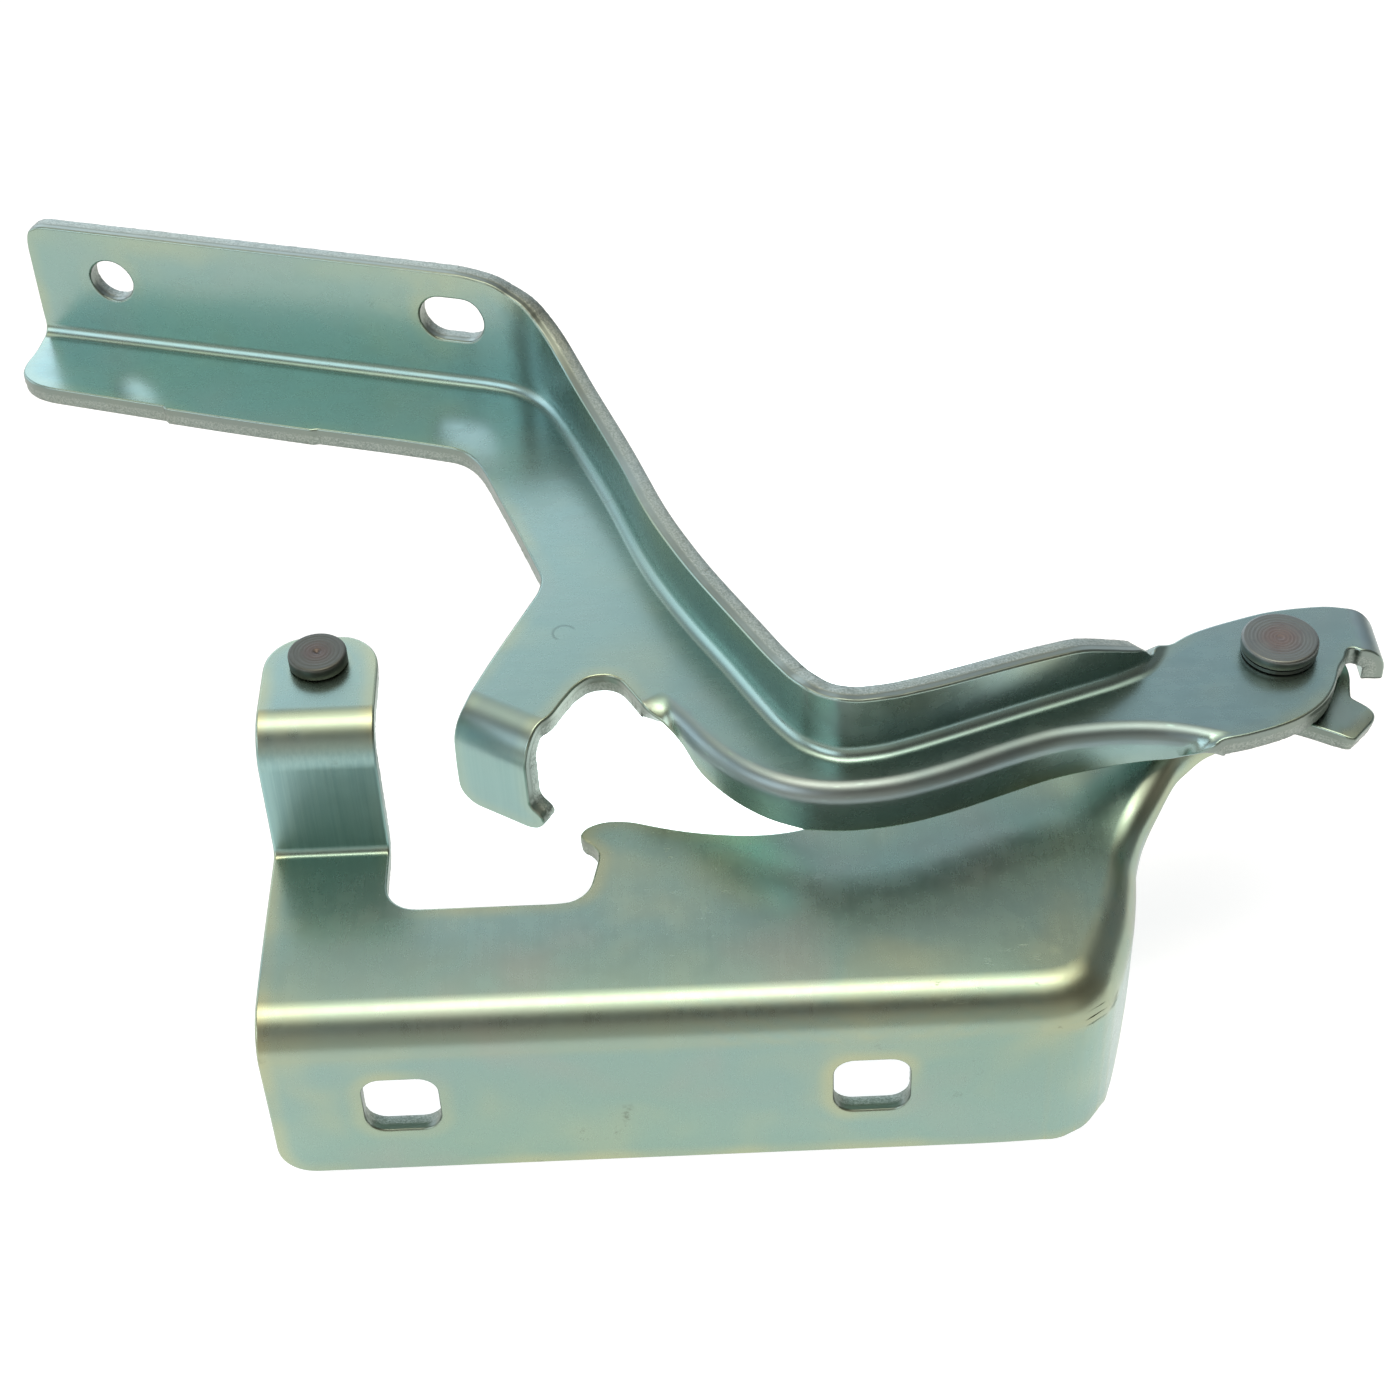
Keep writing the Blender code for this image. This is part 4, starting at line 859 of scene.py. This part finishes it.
def steel_group():
    """Plain steel, turned: a darker, browner middle, fine rings of grain, and stains."""
    group, given, result = new_group("turned_steel", [
        ("Position", "Vector", None), ("Steel", "Color", None), ("Brown", "Color", None),
        ("Head Radius", "Float", 0.007)],
        [("Colour", "Color"), ("Roughness", "Float"), ("Height", "Float")])
    t = group
    flat = put(t, "ShaderNodeVectorMath", {0: given["Position"], 1: (1.0, 1.0, 0.0)},
               operation="MULTIPLY").outputs[0]
    radius = put(t, "ShaderNodeVectorMath", {0: flat}, operation="LENGTH").outputs["Value"]
    share = maths(t, "DIVIDE", radius, given["Head Radius"])
    ring_at = put(t, "ShaderNodeCombineXYZ", {0: maths(t, "MULTIPLY", radius, 2600.0)}).outputs[0]
    rings = noise(t, ring_at, 1.0, 3.0, 0.7)
    stain = noise(t, given["Position"], 420.0, 4.0, 0.65, 0.5)
    middle = step_up(t, maths(t, "MULTIPLY_ADD", stain, 0.5, share), 1.0, 0.45)
    colour = mix_colour(t, maths(t, "MULTIPLY", middle, 0.85), given["Steel"], given["Brown"])
    ringed = put(t, "ShaderNodeMapRange", {"Value": rings, "From Min": 0.3, "From Max": 0.7, "To Min": 0.82,
                                           "To Max": 1.12}).outputs[0]
    colour = mix_colour(t, 1.0, colour, ringed, "MULTIPLY")
    rough = put(t, "ShaderNodeMapRange", {"Value": stain, "From Min": 0.3, "From Max": 0.7, "To Min": 0.34,
                                          "To Max": 0.50}).outputs[0]
    height = maths(t, "MULTIPLY_ADD", rings, 0.5, maths(t, "MULTIPLY", stain, 0.3))
    for label, value in (("Colour", colour), ("Roughness", rough), ("Height", height)):
        t.links.new(value, result[label])
    return group


def shared_group(name, make):
    return bpy.data.node_groups.get(name) or make()


def new_finish(name, group, values, bump):
    """A metal material: the group's colour, roughness and height feed one Principled BSDF. A value that is a
    word names the mesh attribute it is read from, and Centre moves the pattern's zero."""
    m = bpy.data.materials.new(name)
    m.use_nodes = True
    t = m.node_tree
    shader = t.nodes["Principled BSDF"]
    shader.inputs["Metallic"].default_value = 1.0
    g = put(t, "ShaderNodeGroup", None, node_tree=group)
    for label, value in values.items():
        if isinstance(value, str):
            t.links.new(put(t, "ShaderNodeAttribute", None, attribute_name=value).outputs["Fac"],
                        g.inputs[label])
        elif label != "Centre":
            g.inputs[label].default_value = value
    coord = put(t, "ShaderNodeTexCoord").outputs["Object"]
    if "Centre" in values:
        centre = [-x for x in values["Centre"]]
        coord = put(t, "ShaderNodeMapping", {"Vector": coord, "Location": centre}).outputs[0]
    t.links.new(coord, g.inputs["Position"])
    t.links.new(g.outputs["Colour"], shader.inputs["Base Color"])
    t.links.new(g.outputs["Roughness"], shader.inputs["Roughness"])
    b = put(t, "ShaderNodeBump", {"Height": g.outputs["Height"], "Distance": bump, "Strength": 1.0})
    t.links.new(b.outputs["Normal"], shader.inputs["Normal"])
    return m


def zinc_finish(name, scene, tint, blueness, rub, scuffs, lines, bend_highlight_tint):
    c = scene.hinge_colours
    return new_finish(name, shared_group("passivated_zinc", zinc_group), {
        "Edge Distance": "edge_distance", "Cut Depth": "cut_depth", "Bend": "bend", "Scores And Painted Reflection": "drawn",
        "Press Ring Shade": "press_ring_shade", "Zinc": (*c.zinc, 1), "Blue": (*c.zinc_blue, 1), "Straw": (*c.zinc_straw, 1),
        "Rose": (*c.zinc_rose, 1), "Bend Highlight Tint": (*bend_highlight_tint, 1), "Cut": (*c.cut, 1), "Tint": tint, "Blueness": blueness,
        "Rub": rub, "Scuffs": scuffs, "Lines": lines}, 0.00012)


def steel_finish(name, steel, brown, centre, radius):
    return new_finish(name, shared_group("turned_steel", steel_group), {
        "Steel": (*steel, 1), "Brown": (*brown, 1), "Head Radius": radius, "Centre": centre}, 0.00003)


# Pieces

def show(mesh, material, body, node):
    """Adds the finished mesh to the scene, riding on its body in place of its CAD node."""
    if not len(mesh.polygons):
        raise RuntimeError(f"{mesh.name} has no faces")
    o = bpy.data.objects.new(mesh.name, mesh)
    bpy.context.scene.collection.objects.link(o)
    mesh.materials.append(material)
    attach(o, body)
    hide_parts(node)
    return o


class HINGE_OT_bonnet_arm(bpy.types.Operator):
    """Make the pressed gooseneck arm with its bonnet flange"""
    bl_idname = "hinge.bonnet_arm"
    bl_label = "Bonnet arm"

    def execute(self, context):
        # The arm's bends get painted shade that dims their highlight.
        finish = zinc_finish("arm_zinc_plate", context.scene, 0.6, 0.30, 0.09, 0.25, (70.0, 500.0, 500.0),
                             context.scene.hinge_colours.zinc_arm_bend_shade)
        show(arm_mesh(context.scene.hinge_sizes), finish, "arm", "bonnet_arm")
        return {"FINISHED"}


class HINGE_OT_body_bracket(bpy.types.Operator):
    """Make the pressed bracket with its body flange, ear and neck"""
    bl_idname = "hinge.body_bracket"
    bl_label = "Body bracket"

    def execute(self, context):
        # The bracket's bends get a painted highlight tint.
        finish = zinc_finish("bracket_zinc_plate", context.scene, 1.0, 0.0, 0.04, 0.8, (900.0, 60.0, 60.0),
                             context.scene.hinge_colours.zinc_bend_highlight_tint)
        show(bracket_mesh(context.scene.hinge_sizes), finish, "bracket", "body_bracket")
        return {"FINISHED"}


class HINGE_OT_pivot_rivet(bpy.types.Operator):
    """Make the rivet that the arm turns on"""
    bl_idname = "hinge.pivot_rivet"
    bl_label = "Pivot rivet"

    def execute(self, context):
        c = context.scene.hinge_colours
        finish = steel_finish("rivet_turned_steel", c.steel, c.steel_brown, (PIVOT[0] * MM, PIVOT[1] * MM, 0),
                              0.007)
        show(rivet_mesh(context.scene.hinge_sizes), finish, "bracket", "pivot_rivet")
        return {"FINISHED"}


class HINGE_OT_ear_stud(bpy.types.Operator):
    """Make the stud in the bracket's raised ear"""
    bl_idname = "hinge.ear_stud"
    bl_label = "Ear stud"

    def execute(self, context):
        centre = ((STUD[0] + WEB_SHIFT[0]) * MM, (STUD[1] + WEB_SHIFT[1]) * MM, 0)
        c = context.scene.hinge_colours
        finish = steel_finish("stud_turned_steel", c.stud, c.stud_brown, centre, 0.00525)
        show(stud_mesh(context.scene.hinge_sizes), finish, "bracket", "ear_stud")
        return {"FINISHED"}


class HINGE_OT_rings(bpy.types.Operator):
    """Finish the bush and the thrust washer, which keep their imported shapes"""
    bl_idname = "hinge.rings"
    bl_label = "Bush and washer"

    def execute(self, context):
        c = context.scene.hinge_colours
        for node in ("pivot_bush", "thrust_washer"):
            o = frame["nodes"][node]
            finish = steel_finish(node + "_steel", c.steel, c.steel_brown, (PIVOT[0] * MM, PIVOT[1] * MM, 0),
                                  0.010)
            o.data.materials.clear()
            o.data.materials.append(finish)
        return {"FINISHED"}


# Stage

def ramp_of(tree, value, stops):
    """A colour ramp from (place, colour) pairs."""
    node = put(tree, "ShaderNodeValToRGB", {"Fac": value})
    e = node.color_ramp.elements
    while len(e) < len(stops):
        e.new(0.5)
    for slot, (at, colour) in zip(e, stops):
        slot.position, slot.color = at, (*colour, 1)
    return node.outputs["Color"]


# The room's colours by height, from 0 at the horizon to 1 overhead
FAR_SIDE = [(0.0, (0.80, 0.88, 0.98)), (0.36, (0.76, 0.82, 0.94)), (0.43, (0.42, 0.45, 0.50)),
            (0.47, (0.26, 0.27, 0.30)), (0.53, (0.20, 0.195, 0.20)), (0.62, (0.38, 0.34, 0.29)),
            (0.80, (1.0, 0.90, 0.75)), (1.0, (1.0, 0.90, 0.75))]
CAMERA_SIDE = [(0.0, (0.30, 0.28, 0.25)), (0.25, (0.26, 0.23, 0.20)), (0.40, (0.16, 0.13, 0.11)),
               (0.50, (0.06, 0.05, 0.045)), (0.68, (0.10, 0.085, 0.07)), (0.80, (0.80, 0.72, 0.62)),
               (1.0, (1.0, 0.91, 0.78))]
FLOOR_GLOW = [(0.0, (0.70, 0.70, 0.70)), (0.15, (0.66, 0.66, 0.66)), (0.5, (0.30, 0.30, 0.30)),
              (1.0, (0.15, 0.15, 0.15))]


def room_world(strength):
    """The room by height over the horizon, once for the far side and once for the camera's side: a pale
    backdrop, a soft white ceiling over the part, and darkness about the camera. The far side darkens from
    left to right, both far corners are dim, and a bright panel stands to the left of the camera."""
    world = bpy.data.worlds.new("studio_room")
    world.use_nodes = True
    t = world.node_tree
    t.nodes.clear()
    way = put(t, "ShaderNodeTexCoord").outputs["Generated"]
    xyz = put(t, "ShaderNodeSeparateXYZ", {0: way}).outputs
    height = maths(t, "DIVIDE", maths(t, "ARCSINE", xyz["Z"]), math.pi / 2)
    far = ramp_of(t, height, FAR_SIDE)
    near = ramp_of(t, height, CAMERA_SIDE)
    flat = put(t, "ShaderNodeVectorMath", {0: way, 1: (1.0, 1.0, 0.0)}, operation="MULTIPLY").outputs[0]
    reach = put(t, "ShaderNodeVectorMath", {0: flat}, operation="LENGTH").outputs["Value"]
    side, across = (maths(t, "DIVIDE", xyz[axis], reach) for axis in ("Y", "X"))
    low = step_up(t, height, 0.70, 0.50)
    tilt = put(t, "ShaderNodeMapRange", {"Value": across, "From Min": -0.25, "From Max": 0.28, "To Min": 0.45,
                                         "To Max": -0.42}).outputs[0]
    far = mix_colour(t, 1.0, far, maths(t, "MULTIPLY_ADD", tilt, low, 1.0), "MULTIPLY")
    room = mix_colour(t, step_up(t, side, -0.35, 0.35), near, far)
    left = maths(t, "MULTIPLY", step_up(t, across, -0.25, -0.60), step_up(t, side, 0.10, 0.40))
    room = mix_colour(t, maths(t, "MULTIPLY", maths(t, "MULTIPLY", left, low), 0.55), room,
                      (0.05, 0.06, 0.065, 1))
    shade = maths(t, "MULTIPLY", maths(t, "MULTIPLY", step_up(t, across, 0.45, 0.80), low), 0.85)
    room = mix_colour(t, shade, room, (0.05, 0.045, 0.04, 1))
    panel = maths(t, "MULTIPLY", step_up(t, across, -0.35, -0.60), step_up(t, across, -0.98, -0.85))
    panel = maths(t, "MULTIPLY", panel, step_up(t, side, -0.10, -0.35))
    tall = maths(t, "MULTIPLY", step_up(t, height, 0.16, 0.30), step_up(t, height, 0.62, 0.48))
    panel = maths(t, "MULTIPLY", panel, tall)
    room = mix_colour(t, panel, room, (1.0, 1.05, 1.15, 1))
    back = put(t, "ShaderNodeBackground", {"Color": room, "Strength": strength})
    t.links.new(back.outputs[0], put(t, "ShaderNodeOutputWorld").inputs["Surface"])
    return world


def floor_finish(colour):
    """A white table lit from below: it glows over the middle and fades outwards, with a brighter strip behind
    the body flange and a brighter patch under the arm."""
    m = bpy.data.materials.new("floor_table")
    m.use_nodes = True
    t = m.node_tree
    shader = t.nodes["Principled BSDF"]
    where = put(t, "ShaderNodeTexCoord").outputs["Object"]
    c = mix_colour(t, noise(t, where, 40.0), (*colour, 1), (*[x * 0.98 for x in colour], 1))
    t.links.new(c, shader.inputs["Base Color"])
    away = put(t, "ShaderNodeVectorMath", {0: where}, operation="LENGTH").outputs["Value"]
    glow = ramp_of(t, maths(t, "DIVIDE", away, 2.0), FLOOR_GLOW)
    y = put(t, "ShaderNodeSeparateXYZ", {0: where}).outputs["Y"]
    strip = maths(t, "MULTIPLY", step_up(t, y, -0.02, 0.0), step_up(t, y, 0.045, 0.028))
    glow = mix_colour(t, maths(t, "MULTIPLY", strip, 0.5), glow, (1.0, 1.0, 1.0, 1))
    below = put(t, "ShaderNodeMapping", {"Vector": where, "Location": (-0.035, -0.102, 0.0)}).outputs[0]
    below = put(t, "ShaderNodeVectorMath", {0: below, 1: (13.0, 26.0, 0.0)}, operation="MULTIPLY").outputs[0]
    below = put(t, "ShaderNodeVectorMath", {0: below}, operation="LENGTH").outputs["Value"]
    glow = mix_colour(t, step_up(t, below, 1.1, 0.7), glow, (1.75, 1.95, 1.95, 1))
    t.links.new(glow, shader.inputs["Emission Color"])
    shader.inputs["Emission Strength"].default_value = 1.0
    shader.inputs["Roughness"].default_value = 0.9
    return m


def lamp(name, size, power, at, towards, colour=(1, 1, 1)):
    data = bpy.data.lights.new(name, "AREA")
    data.shape, data.size, data.size_y, data.energy, data.color = "RECTANGLE", size[0], size[1], power, colour
    o = bpy.data.objects.new(name, data)
    o.location = at
    o.rotation_euler = (Vector(towards) - Vector(at)).to_track_quat("-Z", "Y").to_euler()
    bpy.context.scene.collection.objects.link(o)
    return o


class HINGE_OT_stage(bpy.types.Operator):
    """Make the floor, the lights, the room and the camera"""
    bl_idname = "hinge.stage"
    bl_label = "Stage"

    def execute(self, context):
        scene, s = context.scene, context.scene.hinge_stage
        z = CAD_BOX[0].z - 0.0003
        x, y = np.meshgrid([-4.0, 4.0], [-4.0, 4.0])
        corners = np.stack([x.ravel(), y.ravel(), np.full(4, z)], 1)
        floor = bpy.data.objects.new("floor", solid_mesh("floor", corners, [np.array([[0, 1, 3, 2]])]))
        floor.data.materials.append(floor_finish(scene.hinge_colours.floor))
        scene.collection.objects.link(floor)
        scene.world = room_world(s.room)
        middle = (0.0, 0.09, 0.02)
        lamp("top_lamp", (0.55, 0.30), s.top_lamp, (0.0, 0.05, 0.95), middle, (1.0, 0.90, 0.78))

        e, r = s.camera_elevation, s.camera_roll
        ahead = Vector((0, math.cos(e), -math.sin(e)))
        across, up = Vector((1, 0, 0)), Vector((0, math.sin(e), math.cos(e)))
        right = across * math.cos(r) - up * math.sin(r)
        top = across * math.sin(r) + up * math.cos(r)
        at = Vector(WEB_SHIFT * MM) - ahead * s.camera_distance
        cam = bpy.data.objects.new("camera", bpy.data.cameras.new("camera"))
        cam.matrix_world = Matrix((right, top, -ahead)).transposed().to_4x4()
        cam.location = at
        cam.data.lens, cam.data.sensor_width = s.lens, 36.0
        cam.data.clip_start, cam.data.clip_end = 0.01, 50.0
        scene.collection.objects.link(cam)
        scene.camera = cam
        scene.view_settings.view_transform = "Standard"
        return {"FINISHED"}


OPERATORS = (HINGE_OT_bonnet_arm, HINGE_OT_body_bracket, HINGE_OT_pivot_rivet, HINGE_OT_ear_stud,
             HINGE_OT_rings, HINGE_OT_stage)


class HINGE_PT_sidebar(bpy.types.Panel):
    """Lists the sizes, colours and steps of the bonnet hinge"""
    bl_label = "Bonnet hinge"
    bl_space_type = "VIEW_3D"
    bl_region_type = "UI"
    bl_category = "Hinge"

    def draw(self, context):
        for group in (context.scene.hinge_sizes, context.scene.hinge_colours, context.scene.hinge_stage):
            box = self.layout.box()
            for key in group.__annotations__:
                box.prop(group, key)
        for operator in OPERATORS:
            self.layout.operator(operator.bl_idname)


CLASSES = (HingeSizes, HingeColours, HingeStage) + OPERATORS + (HINGE_PT_sidebar,)


def register():
    for c in CLASSES:
        bpy.utils.register_class(c)
    bpy.types.Scene.hinge_sizes = PointerProperty(type=HingeSizes)
    bpy.types.Scene.hinge_colours = PointerProperty(type=HingeColours)
    bpy.types.Scene.hinge_stage = PointerProperty(type=HingeStage)


def unregister():
    del bpy.types.Scene.hinge_sizes, bpy.types.Scene.hinge_colours, bpy.types.Scene.hinge_stage
    for c in reversed(CLASSES):
        bpy.utils.unregister_class(c)


def main():
    register()
    bpy.ops.hinge.bonnet_arm()
    bpy.ops.hinge.body_bracket()
    bpy.ops.hinge.pivot_rivet()
    bpy.ops.hinge.ear_stud()
    bpy.ops.hinge.rings()
    bpy.ops.hinge.stage()


if __name__ == "__main__":
    main()
